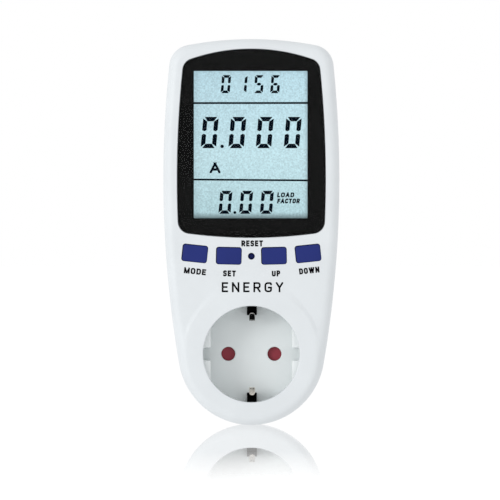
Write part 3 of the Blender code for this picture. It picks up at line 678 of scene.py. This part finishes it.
# The socket insert is paler than the housing: partly its own white plastic, partly painted light that
# lifts the deep recess out of its shade.
SOCKET = plastic("socket_white_painted_light", (0.735, 0.77, 0.775), 0.40, specular=0.3)
LENS = lens_material()
BEZEL = ink_material("bezel_print_black", (0.006, 0.006, 0.006), 0.5)
LCD = lcd_material()
LCD_INK = ink_material("lcd_segment_dark", (0.001, 0.004, 0.009))
LEGEND_INK = ink_material("legend_ink_black", (0.002, 0.002, 0.0025))
BUTTON = plastic("button_blue", (0.013, 0.023, 0.150), 0.42, 0.3, 0.008, 0.15, 0.05)
BLACK = plastic("inner_black", (0.004, 0.004, 0.005), 0.6, specular=0.15)
NICKEL = metal("nickel_plating", (0.74, 0.73, 0.70), 0.22)
# The lower clip's plating, brighter and warmer than the pins': the extra brightness is painted light
# where it faces up towards the lamp.
WARM_LIT_NICKEL = metal("nickel_plating_warm_painted_lit", (0.80, 0.75, 0.68), 0.25)
# The upper clip's plating: painted shade on its down-facing face, painted highlight on its edges.
SHADED_NICKEL = metal("nickel_plating_shaded", (0.85, 0.84, 0.82), 0.2, shaded_face_colour=(0.006, 0.006, 0.006))
ZINC = metal("screw_zinc", (0.60, 0.61, 0.63), 0.30)
LABEL = label_material()
INNER_FINISHES = {
    "black_plastic": BLACK,
    "board_green": board_material(),
    "capacitor_yellow": plastic("capacitor_yellow", (0.70, 0.46, 0.05), 0.35),
    "carrier_plastic": plastic("carrier_grey", (0.45, 0.46, 0.45), 0.55),
    "chip_black": plastic("chip_epoxy", (0.015, 0.015, 0.016), 0.55),
    "contact_brass": metal("contact_brass", (0.72, 0.54, 0.26), 0.30),
    "diffuser_plastic": plastic("diffuser_white", (0.85, 0.88, 0.90), 0.5),
    "elastomer_grey": plastic("elastomer_grey", (0.18, 0.18, 0.19), 0.75),
    "lcd_glass": LCD,
    "nickel_plate": NICKEL,
    "shutter_red": plastic("shutter_maroon", (0.27, 0.032, 0.048), 0.5, specular=0.25),
    "sleeve_black": plastic("capacitor_sleeve", (0.02, 0.02, 0.035), 0.3),
    "steel_zinc": ZINC,
    "varistor_blue": plastic("varistor_epoxy", (0.03, 0.12, 0.35), 0.35),
}
# The brass earth strap is painted near black: painted shade, as it lies deep behind the clip windows.
STRAP_PAINTED_SHADE = metal("earth_strap_painted_shade", (0.020, 0.018, 0.016), 0.55)


# --- housings ---


def shell_rings(edge_radius, face_y, inner_y, seam_y, lip_y, lip_inset, inwards):
    """Rings from a face, round its edge, along the side to the seam's lip and back inside."""
    rings = [(inset, face_y + depth * inwards) for inset, depth in quarter(edge_radius, 10)]
    rings += [(0.0, seam_y - SEAM_CHAMFER * inwards), (SEAM_CHAMFER, seam_y)]
    rings += [(lip_inset, seam_y), (lip_inset, lip_y), (SIDE_WALL, lip_y)]
    rings += [(SIDE_WALL, inner_y + inwards), (SIDE_WALL + 1.0, inner_y)]
    return [at_depth(body_outline(inset), y) for inset, y in rings]


def smooth_step(value):
    value = min(max(value, 0.0), 1.0)
    return value * value * (3 - 2 * value)


def collar_rise(x, z):
    """How far the face stands forward at (x, z). The collar's edge is softer towards the top."""
    from_top = abs(math.degrees(math.atan2(x, z)))
    soft_half = 1.0 + 2.6 * (1 - smooth_step((from_top - 20) / 30))
    inside = COLLAR_RADIUS + soft_half - math.hypot(x, z)
    return COLLAR_PROUD * smooth_step(inside / (2 * soft_half))


def raise_collar(shell):
    """Lifts the face round the socket. The lift fades down the body's rounded edge."""
    for vert in shell.data.vertices:
        x, y, z = (c / MM for c in vert.co)
        depth = (y - FACE_Y) / FRONT_EDGE_RADIUS
        if depth < 0.99:
            vert.co.y -= collar_rise(x, z) * (1 - smooth_step(depth)) * MM


def collar_points():
    """Points across the collar's soft edge, inside the flat part of the face."""
    points = []
    margin = FRONT_EDGE_RADIUS + 0.4
    for radius in [RECESS_RADIUS + 2.0] + [COLLAR_RADIUS - 3.9 + 0.4 * i for i in range(20)]:
        for x, z in circle(radius, 120):
            drop = (z - WIDEST_Z) ** 2 / (2 * SIDE_RADIUS)
            in_bottom = math.dist((x, z), BOTTOM_CENTRE) < BOTTOM_RADIUS - margin
            if in_bottom or (z > 2.0 and abs(x) < HALF_WIDTH - margin - drop):
                points.append((x, z))
    return points


def seen_place(node):
    """Where a node's middle is, seen from the front."""
    place = centre(node)
    return place.x, place.z


# Each housing screw: its node, its place and the radius of its posts.
SCREWS = [
    (node, seen_place(node), radius)
    for row, radius in (("top", 2.9), ("bottom", 3.6))
    for node in (f"housing_screw_{row}_left", f"housing_screw_{row}_right")
]


def front_shell():
    seam = SEAM_Y - SEAM_GAP
    rings = shell_rings(FRONT_EDGE_RADIUS, FACE_Y, FRONT_INNER_Y, seam, seam - 1.9, 1.0, 1)
    shell = loft(rings, collar_points())
    raise_collar(shell)

    for _, middle, radius in SCREWS:
        join(shell, prism(circle(radius, 40, middle), FRONT_INNER_Y - 1, POST_MEET_Y - SEAM_GAP))
    through = FRONT_INNER_Y + 2
    cut(shell, opening(lens_outline(-0.14), FACE_Y, 0.2, FACE_Y + POCKET_DEPTH))
    window = rectangle(WINDOW_WIDTH + 1.6, WINDOW_HEIGHT + 1.6, (0, WINDOW_MID_Z), 0.8)
    cut(shell, prism(window, FACE_Y - 5, through))
    width, height = BUTTON_WIDTH + 2 * BUTTON_GAP, BUTTON_HEIGHT + 2 * BUTTON_GAP
    for name, tilt in BUTTONS:
        place = seen_place(f"{name}_button")
        hole = rectangle(width, height, place, BUTTON_CORNER + BUTTON_GAP, tilt)
        cut(shell, opening(hole, FACE_Y, 0.12, through))
    reset_hole = circle(RESET_RADIUS + 0.25, 40, seen_place("reset_button"))
    cut(shell, opening(reset_hole, FACE_Y, 0.15, through))
    cut(shell, opening(circle(RECESS_RADIUS, 128), FACE_Y - COLLAR_PROUD, 0.5, through))
    for _, middle, _ in SCREWS:
        bore = circle(SCREW_BORE_RADIUS, 24, middle)
        cut(shell, prism(bore, FRONT_BORE_Y, POST_MEET_Y + 2))
    finish_piece(shell, "front_shell", HOUSING, ROOT, ["front_housing"], sharp_deg=32)


def rear_shell():
    rings = shell_rings(BACK_EDGE_RADIUS, BACK_Y, BACK_INNER_Y, SEAM_Y, SEAM_Y - SEAM_LIP, 1.3, -1)
    shell = loft(rings)
    join(shell, plug_body())
    for _, middle, radius in SCREWS:
        join(shell, prism(circle(radius, 40, middle), POST_MEET_Y, BACK_INNER_Y + 1))
    cut(shell, prism(circle(PLUG_CAVITY_RADIUS, 64), -30.0, -PLUG_WALL))
    for side in (-1, 1):
        hole = circle(PIN_RADIUS + 0.3, 40, (side * PIN_X, 0))
        cut(shell, opening(hole, 0.0, 0.4, -10.0))
    for _, middle, radius in SCREWS:
        cut(shell, prism(circle(SCREW_BORE_RADIUS, 24, middle), POST_MEET_Y - 2, -25.0))
        cut(shell, opening(circle(radius - 0.7, 40, middle), BACK_Y, 0.4, HEAD_FLOOR_Y))
    pocket = rectangle(*LABEL_POCKET, (0, centre("rating_label").z), 2.3)
    cut(shell, opening(pocket, BACK_Y, 0.2, BACK_Y - 0.5))
    finish_piece(shell, "rear_shell", REAR, ROOT, ["rear_housing"], sharp_deg=32)


def plug_body():
    """The round plug body with its side ribs and earth slots, filleted where it leaves the back."""
    outline = keyed_circle(PLUG_RADIUS, PLUG_FLAT_X, PLUG_RIB, *EARTH_SLOT, steps=9)
    outline = softened(outline, 0.7)
    edge = quarter(0.35)
    steps = [(0.35, BACK_Y - 1.0)] + [(inset, BACK_Y + depth) for inset, depth in edge]
    steps += [(-inset, -depth) for inset, depth in edge[::-1]]
    return loft([at_depth(grown(outline, inset), y) for inset, y in steps])


# --- display ---


def lens_and_bezel():
    front, back = depths("display_lens")
    steps = [(0.95, 0.0), (0.85, 0.01)] + [(inset, 0.1 + depth) for inset, depth in quarter(0.3)]
    rings = [at_depth(lens_outline(inset), front + depth) for inset, depth in steps]
    lens = loft(rings + [at_depth(lens_outline(), back)])
    finish_piece(lens, "lens_plate", LENS, replaces=["display_lens"])
    lens.visible_shadow = False

    bezel = prism(lens_outline(0.05), *depths("lens_mask"))
    window = rectangle(WINDOW_WIDTH, WINDOW_HEIGHT, (WINDOW_X, WINDOW_MID_Z), 0.2)
    cut(bezel, prism(window, FACE_Y - 5, FACE_Y + 5))
    finish_piece(bezel, "bezel_print", BEZEL, replaces=["lens_mask"])


def segment_outlines(width, height, thick, gap):
    """The seven segments of a digit round the origin, lettered a to g clockwise from the top."""
    w, h, t, g = width / 2, height / 2, thick, gap / 2
    corner, shoulder = 0.3 * t, 0.54 * t
    top = [(-w + corner + g, h), (-w + t + g, h - t), (w - t - g, h - t), (w - corner - g, h)]
    left = [(-w, h - corner - g), (-w, shoulder), (-w + 0.5 * t, 0.28 * t)]
    left += [(-w + t, shoulder), (-w + t, h - t - g)]
    middle = [(-w + 0.75 * t, 0.0), (-w + 1.3 * t, -0.5 * t), (w - 1.3 * t, -0.5 * t)]
    middle += [(-x, -z) for x, z in middle]
    right = [(-x, z) for x, z in left[::-1]]
    right_low, bottom, left_low = ([(x, -z) for x, z in shape[::-1]] for shape in (right, top, left))
    segments = zip("abcdefg", (top, right, right_low, bottom, left_low, left, middle))
    return {letter: softened(shape, 0.12 * t, 3) for letter, shape in segments}


LIT = {"0": "abcdef", "1": "bc", "5": "acdfg", "6": "acdefg"}


def number(name, text, centres, low_z, high_z, width, thick, gap):
    """A row of slanted, lit digits, one at each x in centres."""
    height, middle_z = high_z - low_z, (low_z + high_z) / 2
    slant = math.tan(math.radians(DIGIT_SLANT_DEG))
    segments = segment_outlines(width, height, thick, gap)
    outlines = []
    for digit, x in zip(text, centres):
        for letter in LIT[digit]:
            outlines.append([(x + px + pz * slant, middle_z + pz) for px, pz in segments[letter]])
    on_display(name, outlines)


def on_display(name, shapes):
    printed(name, shapes, LCD_FRONT_Y, LCD_INK)


def display_contents():
    number("digits_top", "0156", (-10.45, -3.65, 3.1, 9.85), 107.0, 114.42, 3.75, 1.12, 0.02)
    number("digits_main", "0000", (-17.1, -5.75, 5.5, 16.95), 84.45, 97.28, 6.35, 1.8, 0.16)
    number("digits_low", "000", (-10.65, -2.15, 6.35), 57.55, 67.0, 5.0, 1.42, 0.04)
    on_display("decimal_points", [circle(0.72, 24, (-12.0, 85.2)), circle(0.6, 24, (-6.8, 58.1))])
    across = WINDOW_WIDTH + 0.6
    upper_rule = rectangle(across, 0.8, (WINDOW_X, 102.97), tilt_deg=0.05)
    lower_rule = rectangle(across, 0.75, (WINDOW_X, 71.42), tilt_deg=-0.45)
    on_display("display_rules", [upper_rule, lower_rule])
    on_display("unit_sign", text_shapes("A", (-14.9, 76.4), 4.45, 4.4, 0.98))
    words = []
    for text, middle, width in (("LOAD", (14.1, 65.3), 6.9), ("FACTOR", (15.25, 62.8), 9.2)):
        words += text_shapes(text, middle, width, 2.0, 0.54, slant_deg=8.0, spacing=0.12)
    on_display("factor_words", words)


# --- print ---

# Each capital: its width for a height of 1, then its strokes in a unit square, with a comma
# between them. A stroke through two points is straight, and a longer one curves.
CAPITALS = {
    "A": (0.72, "0 0 .5 1, .5 1 1 0, .22 .3 .78 .3"),
    "C": (0.62, "1 .7 1 1 0 1 0 0 1 0 1 .3"),
    "D": (0.64, "0 0 0 1, 0 1 1 1 1 0 0 0"),
    "E": (0.56, "0 0 0 1, 0 1 1 1, 0 0 1 0, 0 .52 .85 .52"),
    "F": (0.54, "0 0 0 1, 0 1 1 1, 0 .5 .85 .5"),
    "G": (0.66, "1 .74 1 1 0 1 0 0 1 0 1 .46, 1 .46 .6 .46"),
    "L": (0.52, "0 1 0 0, 0 0 1 0"),
    "M": (0.80, "0 0 0 1, 1 0 1 1, 0 1 .5 0, 1 1 .5 0"),
    "N": (0.66, "0 0 0 1, 1 0 1 1, 0 1 1 0"),
    "O": (0.66, "0 .5 0 1 1 1 1 0 0 0 0 .5"),
    "P": (0.60, "0 0 0 1, 0 1 1 1 1 .42 0 .42"),
    "R": (0.64, "0 0 0 1, 0 1 1 1 1 .45 0 .45, .55 .45 1 0"),
    "S": (0.60, "1 .76 1 1 0 1 0 .52 1 .52 1 0 0 0 0 .24"),
    "T": (0.60, "0 1 1 1, .5 1 .5 0"),
    "U": (0.64, "0 1.08 0 0 1 0 1 1.08"),
    "W": (0.96, "0 1 .25 0, .25 0 .5 1, .5 1 .75 0, .75 0 1 1"),
    "Y": (0.66, "0 1 .5 .45, 1 1 .5 .45, .5 .45 .5 0"),
}


def stroke_quads(points, stroke, top):
    """The quads of one stroke of this width, in a letter whose strokes end at this top."""
    if len(points) > 2:
        path = without_repeats(rounded_path(points, 0.9 * math.dist(points[1], points[2]) / 2, 6))
    else:
        start, end = (Vector(point) for point in points)
        along = (end - start).normalized() * stroke
        slanted = abs(along.x * along.y) > 1e-9
        before, after = (float(abs(z) > 0.99 * top) if slanted else 0.5 for _, z in points)
        path = [tuple(start - along * before), tuple(end + along * after)]
    edge = ribbon_outline(path, stroke)
    return [[edge[i], edge[i + 1], edge[-2 - i], edge[-1 - i]] for i in range(len(path) - 1)]


def cut_off(shape, axis, level, sign):
    """The part of a convex outline on one side of a level across this axis."""
    kept = []
    for start, end in zip(shape, shape[1:] + shape[:1]):
        before, after = (sign * (point[axis] - level) for point in (start, end))
        if before <= 0:
            kept.append(start)
        if before * after < 0:
            part = before / (before - after)
            kept.append(tuple(a + part * (b - a) for a, b in zip(start, end)))
    return kept


def text_shapes(text, middle, width, height, stroke, tilt_deg=0.0, slant_deg=0.0, spacing=0.2):
    """Overlapping quads that draw capitals in a box of this size, round its middle."""
    letters = [CAPITALS[letter] for letter in text]
    scale = width / (sum(share for share, _ in letters) + spacing * (len(text) - 1))
    lean = math.tan(math.radians(slant_deg))
    left, half = -width / 2, height / 2
    shapes = []
    for share, plans in letters:
        letter_width = share * scale
        right = left + letter_width
        for plan in plans.split(","):
            values = [float(value) for value in plan.split()]
            points = [
                (left + stroke / 2 + x * (letter_width - stroke), (z - 0.5) * (height - stroke))
                for x, z in zip(values[::2], values[1::2])
            ]
            for quad in stroke_quads(points, stroke, (height - stroke) / 2):
                for axis, level, sign in ((0, left, -1), (0, right, 1), (1, -half, -1), (1, half, 1)):
                    quad = cut_off(quad, axis, level, sign)
                if len(quad) > 2:
                    shapes.append(placed([(x + z * lean, z) for x, z in quad], middle, tilt_deg))
        left = right + spacing * scale
    return shapes


def anticlockwise(shapes):
    """The convex outlines of the shapes that have an area, all drawn the same way round."""
    kept = []
    for points in shapes:
        shape = [points[i] for i in convex_hull_2d([Vector(point) for point in points])]
        pairs = zip(shape, shape[1:] + shape[:1])
        area = sum(a[0] * b[1] - b[0] * a[1] for a, b in pairs) / 2
        if abs(area) > 1e-4:
            kept.append(shape if area > 0 else shape[::-1])
    return kept


def follow(work, rise):
    """Splits the faces finely and lifts them by rise(x, z)."""
    for _ in range(5):
        bmesh.ops.triangulate(work, faces=work.faces)
        long_edges = [edge for edge in work.edges if edge.calc_length() > 0.6 * MM]
        bmesh.ops.subdivide_edges(work, edges=long_edges, cuts=1)
    bmesh.ops.triangulate(work, faces=work.faces)
    for vert in work.verts:
        vert.co.y -= rise(vert.co.x / MM, vert.co.z / MM) * MM


def thickened(work, thickness):
    """Closes the open faces in work into a layer that stands out towards the reader."""
    faces, rims = list(work.faces), [edge for edge in work.edges if edge.is_boundary]
    front = {}
    for vert in list(work.verts):
        x, y, z = vert.co
        front[vert] = work.verts.new((x, y - thickness * MM, z))
    for face in faces:
        work.faces.new([front[vert] for vert in face.verts])
    for edge in rims:
        first, second = edge.verts
        work.faces.new((first, second, front[second], front[first]))


def printed(name, shapes, y_back, material, rise=None):
    """A thin layer of ink on a face, as one mesh, in the union of these (x, z) shapes."""
    points, faces = [], []
    for shape in anticlockwise(shapes):
        faces.append(list(range(len(points), len(points) + len(shape))))
        points += [Vector(point) for point in shape]
    places, _, cells, _, _, owners = delaunay_2d_cdt(points, [], faces, 0, 1e-5)
    cells = [cell for cell, owner in zip(cells, owners) if owner]
    work = bmesh.new()
    used = sorted({i for cell in cells for i in cell})
    verts = {i: work.verts.new((places[i].x * MM, y_back * MM, places[i].y * MM)) for i in used}
    for cell in cells:
        work.faces.new([verts[i] for i in cell])
    if rise:
        follow(work, rise)
    thickened(work, INK_THICKNESS)
    finish_piece(solid_from(work), name, material, weighted=False)


# --- buttons and legends ---


def button_caps():
    crown = [(3.0, 0.0), (1.6, 0.03), (0.75, 0.10)]
    crown += [(inset, 0.16 + depth) for inset, depth in quarter(0.4)]
    for name, tilt in BUTTONS:
        node = f"{name}_button"
        middle = tuple(a + b for a, b in zip(seen_place(node), BUTTON_SAG))
        face, back = depths(node)
        steps = [(inset, max(BUTTON_CORNER - inset, 0.25), face + depth) for inset, depth in crown]
        flange = ((0.0, FLANGE_FRONT), (-1.0, FLANGE_FRONT), (-1.0, FLANGE_BACK))
        steps += [(inset, BUTTON_CORNER, y) for inset, y in flange]
        rings = []
        for inset, corner, y in steps:
            width, height = BUTTON_WIDTH - 2 * inset, BUTTON_HEIGHT - 2 * inset
            rings.append(at_depth(rectangle(width, height, middle, corner, tilt), y))
        stem = rectangle(BUTTON_STEM, BUTTON_STEM, middle, BUTTON_STEM * 0.45, tilt)
        cap = loft(rings + [at_depth(stem, FLANGE_BACK), at_depth(stem, back)])
        finish_piece(cap, f"{name}_cap", BUTTON, f"{name}_key", [node])


def reset_cap():
    """The small round key. Its face stands a little behind that of its CAD node."""
    node = "reset_button"
    face, back = low(node).y + 1.3, high(node).y
    profile = [(RESET_RADIUS - 0.9, face), (RESET_RADIUS - 0.5, face + 0.05)]
    profile += [(RESET_RADIUS - inset, face + 0.1 + depth) for inset, depth in quarter(0.35)]
    profile += [(RESET_RADIUS, FLANGE_FRONT), (2.5, FLANGE_FRONT)]
    profile += [(2.5, FLANGE_BACK), (RESET_RADIUS, FLANGE_BACK), (RESET_RADIUS, back)]
    cap = turned(profile, seen_place(node), 40)
    finish_piece(cap, "reset_cap", BUTTON, "reset_key", [node])


def legends():
    """Plain generic words under the keys, and a generic title over the socket."""
    for text, x, z, width, tilt in (
        ("MODE", -23.1, 34.0, 9.0, -6.0),
        ("SET", -9.0, 33.1, 5.2, -1.3),
        ("UP", 10.1, 33.1, 3.4, 1.3),
        ("DOWN", 23.7, 34.3, 8.3, 6.0),
        ("RESET", 0.3, 45.4, 8.8, 0.0),
    ):
        words = text_shapes(text, (x, z), width, 2.45, 0.62, tilt, spacing=0.15)
        printed(f"legend_{text.lower()}", words, FACE_Y, LEGEND_INK)
    title = text_shapes("ENERGY", (0.45, 27.45), 25.2, 4.1, 0.72, spacing=0.34)
    printed("title", title, FACE_Y, LEGEND_INK, collar_rise)


# --- socket ---


def socket_cup():
    mouth, back = depths("socket_insert")
    outer_radius = (high("socket_insert").z - low("socket_insert").z) / 2
    cup = prism(circle(outer_radius, 128), mouth, back)
    well = softened(keyed_circle(RECESS_RADIUS, LEDGE_X, LEDGE_NOTCH), 0.8)
    cut(cup, prism(circle(RECESS_RADIUS, 128), mouth - 5, LEDGE_FRONT_Y))
    cut(cup, opening(well, LEDGE_FRONT_Y, 0.5, FLOOR_Y))
    for side in (-1, 1):
        hole = circle(PIN_HOLE_RADIUS, 48, (side * PIN_X, 0))
        cut(cup, opening(hole, FLOOR_Y, 0.45, back + 3))
        middle = (CLIP_WINDOW_X, side * (CLIP_WINDOW_LOW + CLIP_WINDOW_HEIGHT / 2))
        window = rectangle(CLIP_WINDOW_WIDTH, CLIP_WINDOW_HEIGHT, middle, 0.2)
        cut(cup, prism(window, CLIP_WINDOW_FRONT_Y, back + 3))
    finish_piece(cup, "socket_cup", SOCKET, ROOT, ["socket_insert"], sharp_deg=32)


def clip_shade_liners():
    """Black liners in the clip windows, open towards the clip's root: a dark sheet put in as painted
    shade where the deep windows fall dark.
    """
    inner, outer, wall = CLIP_WINDOW_LOW + 0.1, 21.45, 0.2
    width = CLIP_WINDOW_WIDTH - 0.1
    front, back = CLIP_WINDOW_FRONT_Y + 0.4, -40.8
    hollow_inner, hollow_outer = inner - 1.0, outer - wall
    for side, label in ENDS:
        block = rectangle(width, outer - inner, (CLIP_WINDOW_X, side * (inner + outer) / 2))
        well = prism(block, front, back)
        middle = (CLIP_WINDOW_X, side * (hollow_outer + hollow_inner) / 2)
        hollow = rectangle(width - 2 * wall, hollow_outer - hollow_inner, middle)
        cut(well, prism(hollow, front - 5.0, back - 0.4))
        slot = rectangle(2.8, 1.5, (CLIP_X, side * (inner + 0.85)))
        cut(well, prism(slot, back - 4.2, back + 5.8))
        finish_piece(well, f"clip_shade_liner_{label}", BLACK)


def earth_clips():
    """Bent strips with a rounded free end. The upper one faces the floor, so its face is painted dark
    as painted shade; the lower one faces up, so its plating is painted brighter as painted light.
    """
    root_y, root_z = high("earth_clip_top").y, 16.6
    width, thickness, end_radius = 2.5, 0.6, 1.25
    bends = [(root_y, root_z), (-46.4, root_z), (-50.2, 13.25), (-53.4, 17.05)]
    for (side, label), finish in zip(ENDS, (SHADED_NICKEL, WARM_LIT_NICKEL)):
        path = rounded_path([(y, side * z) for y, z in bends], 1.9, 10)
        clip = strip(path, width, thickness, CLIP_X)
        round_centre = (CLIP_X, side * (bends[-1][1] - end_radius))
        beyond = (CLIP_X, round_centre[1] + side * 1.5)
        corner = prism(rectangle(4, 3, beyond), -56.0, -50.6)
        cut(corner, prism(circle(end_radius, 48, round_centre), -57.0, -49.0))
        cut(clip, corner)
        bevel(clip, 0.28, 4, clamp=False)
        name, body, replaced = f"clip_strip_{label}", f"clip_{label}", [f"earth_clip_{label}"]
        finish_piece(clip, name, finish, body, replaced, sharp_deg=50)


# --- plug and back ---


def plug_pins():
    groove, flange_radius = PIN_RADIUS - 0.12, 3.4
    for side, pole in ((-1, "line"), (1, "neutral")):
        tail, tip = depths(f"{pole}_pin")
        nose = arc((0.0, 0.0), PIN_RADIUS, 85.0, 0.0, 8)
        profile = [(radius, tip + 0.75 * (rise - PIN_RADIUS)) for radius, rise in nose]
        profile += [(PIN_RADIUS, 2.2), (groove, 2.0), (groove, 1.6), (PIN_RADIUS, 1.4)]
        profile += [(PIN_RADIUS, -3.3), (flange_radius, -3.3), (flange_radius, -4.5)]
        profile += [(PIN_RADIUS, -4.5), (PIN_RADIUS, tail)]
        pin = turned(profile, (side * PIN_X, 0), 56)
        finish_piece(pin, f"{pole}_prong", NICKEL, replaces=[f"{pole}_pin"])


def plug_earths():
    bends = [(-15.1, 10.5), (-15.1, 16.9), (-13.0, 17.1), (-7.5, 17.7), (-2.0, 17.0), (-0.9, 16.7)]
    for side, label in ENDS:
        path = rounded_path([(y, side * z) for y, z in bends], 2.4, 8)
        spring = strip(path, 4.8, 0.8)
        bevel(spring, 0.15)
        name, replaced = f"plug_spring_{label}", [f"plug_earth_{label}"]
        finish_piece(spring, name, NICKEL, ROOT, replaced, sharp_deg=50)


def cross_head_screws():
    for node, middle, post_radius in SCREWS:
        tip, back = depths(node)
        radius, head_front = post_radius - 1.0, HEAD_FLOOR_Y + 0.3
        profile = [(0.5, tip), (1.25, tip + 1.2), (1.25, head_front), (radius, head_front)]
        profile += [(radius, back - 0.8)]
        profile += [(radius - inset, back - depth) for inset, depth in quarter(0.7)[::-1]]
        screw = turned(profile, middle, 40)
        for turn in (45, 135):
            blade = rectangle(radius * 1.1, 0.5, middle, 0.0, turn)
            tip_blade = rectangle(radius * 0.4, 0.3, middle, 0.0, turn)
            rings = [at_depth(blade, back + 1), at_depth(blade, back), at_depth(tip_blade, back - 1.1)]
            cut(screw, loft(rings))
        finish_piece(screw, node.replace("housing", "cross"), ZINC, replaces=[node])


def back_label():
    """The blank film, with two empty fields printed on it."""
    size, middle_z = high("rating_label") - low("rating_label"), centre("rating_label").z
    front, back = depths("rating_label")
    film = prism(rectangle(size.x, size.z, (0, middle_z), 2.0), front, back)
    finish_piece(film, "blank_label", LABEL, replaces=["rating_label"])
    edge = rectangle(size.x - 3.0, size.z - 3.0, (0, middle_z), 1.2)
    border = prism(edge, back, back + 0.02)
    for low_z, high_z in ((-23.1, 8.0), (8.4, 23.1)):
        place = (0, middle_z + (low_z + high_z) / 2)
        panel = rectangle(size.x - 3.8, high_z - low_z, place, 0.8)
        cut(border, prism(panel, back - 1, back + 1))
    finish_piece(border, "label_border", LEGEND_INK, weighted=False)


# --- pieces that keep their CAD shape ---


def finish_inner_nodes():
    for entry in frame["record"]["subparts"]:
        node = frame["nodes"][entry["node"]]
        material = INNER_FINISHES.get(entry["material_slot"])
        # The earth strap takes near-black paint as painted shade, deep behind the clip windows.
        if entry["node"] == "earth_strap":
            material = STRAP_PAINTED_SHADE
        if material and not node.hide_render:
            node.data.materials.clear()
            node.data.materials.append(material)


# --- floor, light and camera ---


def floor():
    """A pale table. A strip in front of the meter is glossy, and the gloss fades out forwards."""
    bpy.ops.mesh.primitive_plane_add(size=600.0, location=(0.0, 0.0, low("front_housing").z * MM))
    table = bpy.context.active_object
    table.name = "floor"
    nodes = Nodes("floor_pale")
    nodes.surface({
        "Base Color": (0.1, 0.1, 0.1),
        "Roughness": 0.9,
        "Specular IOR Level": 0.0,
        "Emission Color": WHITE,
        "Emission Strength": 0.97,
    })
    mirror = nodes.add("BsdfGlossy", "BSDF", {"Color": WHITE, "Roughness": 0.0})
    polish = nodes.spread(nodes.axes(nodes.coordinates)["Y"], 0.0, 0.8, -1.36, -0.72)
    share = nodes.product(polish, nodes.add("Fresnel", "Fac", {"IOR": 1.5}))
    table.data.materials.append(nodes.mixed_surface(share, nodes.shader.outputs["BSDF"], mirror))


def aim_at(item, place, target):
    item.location = place
    item.rotation_mode = "QUATERNION"
    item.rotation_quaternion = (target - place).to_track_quat("-Z", "Y")


def lights():
    """A white surround and one soft lamp from the upper left."""
    world = bpy.data.worlds.new("white_surround")
    world.use_nodes = True
    world.node_tree.nodes["Background"].inputs["Color"].default_value = (*WHITE, 1.0)
    bpy.context.scene.world = world
    bpy.context.scene.view_settings.view_transform = "Standard"

    lamp = bpy.data.lights.new("soft_key", "AREA")
    lamp.shape = "DISK"
    lamp.size = 0.9
    lamp.energy = 15.5
    aim_at(add_object("soft_key", lamp), Vector((-1.65, -1.62, 0.4)), Vector((0.0, 0.0, 0.05)))


def camera():
    """Straight in front, with a long lens."""
    distance = 5.0
    field_width = 0.2049
    data = bpy.data.cameras.new("camera")
    data.lens = data.sensor_width * distance / field_width
    data.clip_end = 50.0
    view = add_object("camera", data)
    middle = Vector((-0.57, FACE_Y, 42.7)) * MM
    aim_at(view, middle + Vector((0.0, -distance, 0.0)), middle)
    bpy.context.scene.camera = view


camera()
front_shell()
rear_shell()
lens_and_bezel()
display_contents()
button_caps()
reset_cap()
legends()
socket_cup()
clip_shade_liners()
earth_clips()
plug_pins()
plug_earths()
cross_head_screws()
back_label()
finish_inner_nodes()
floor()
lights()
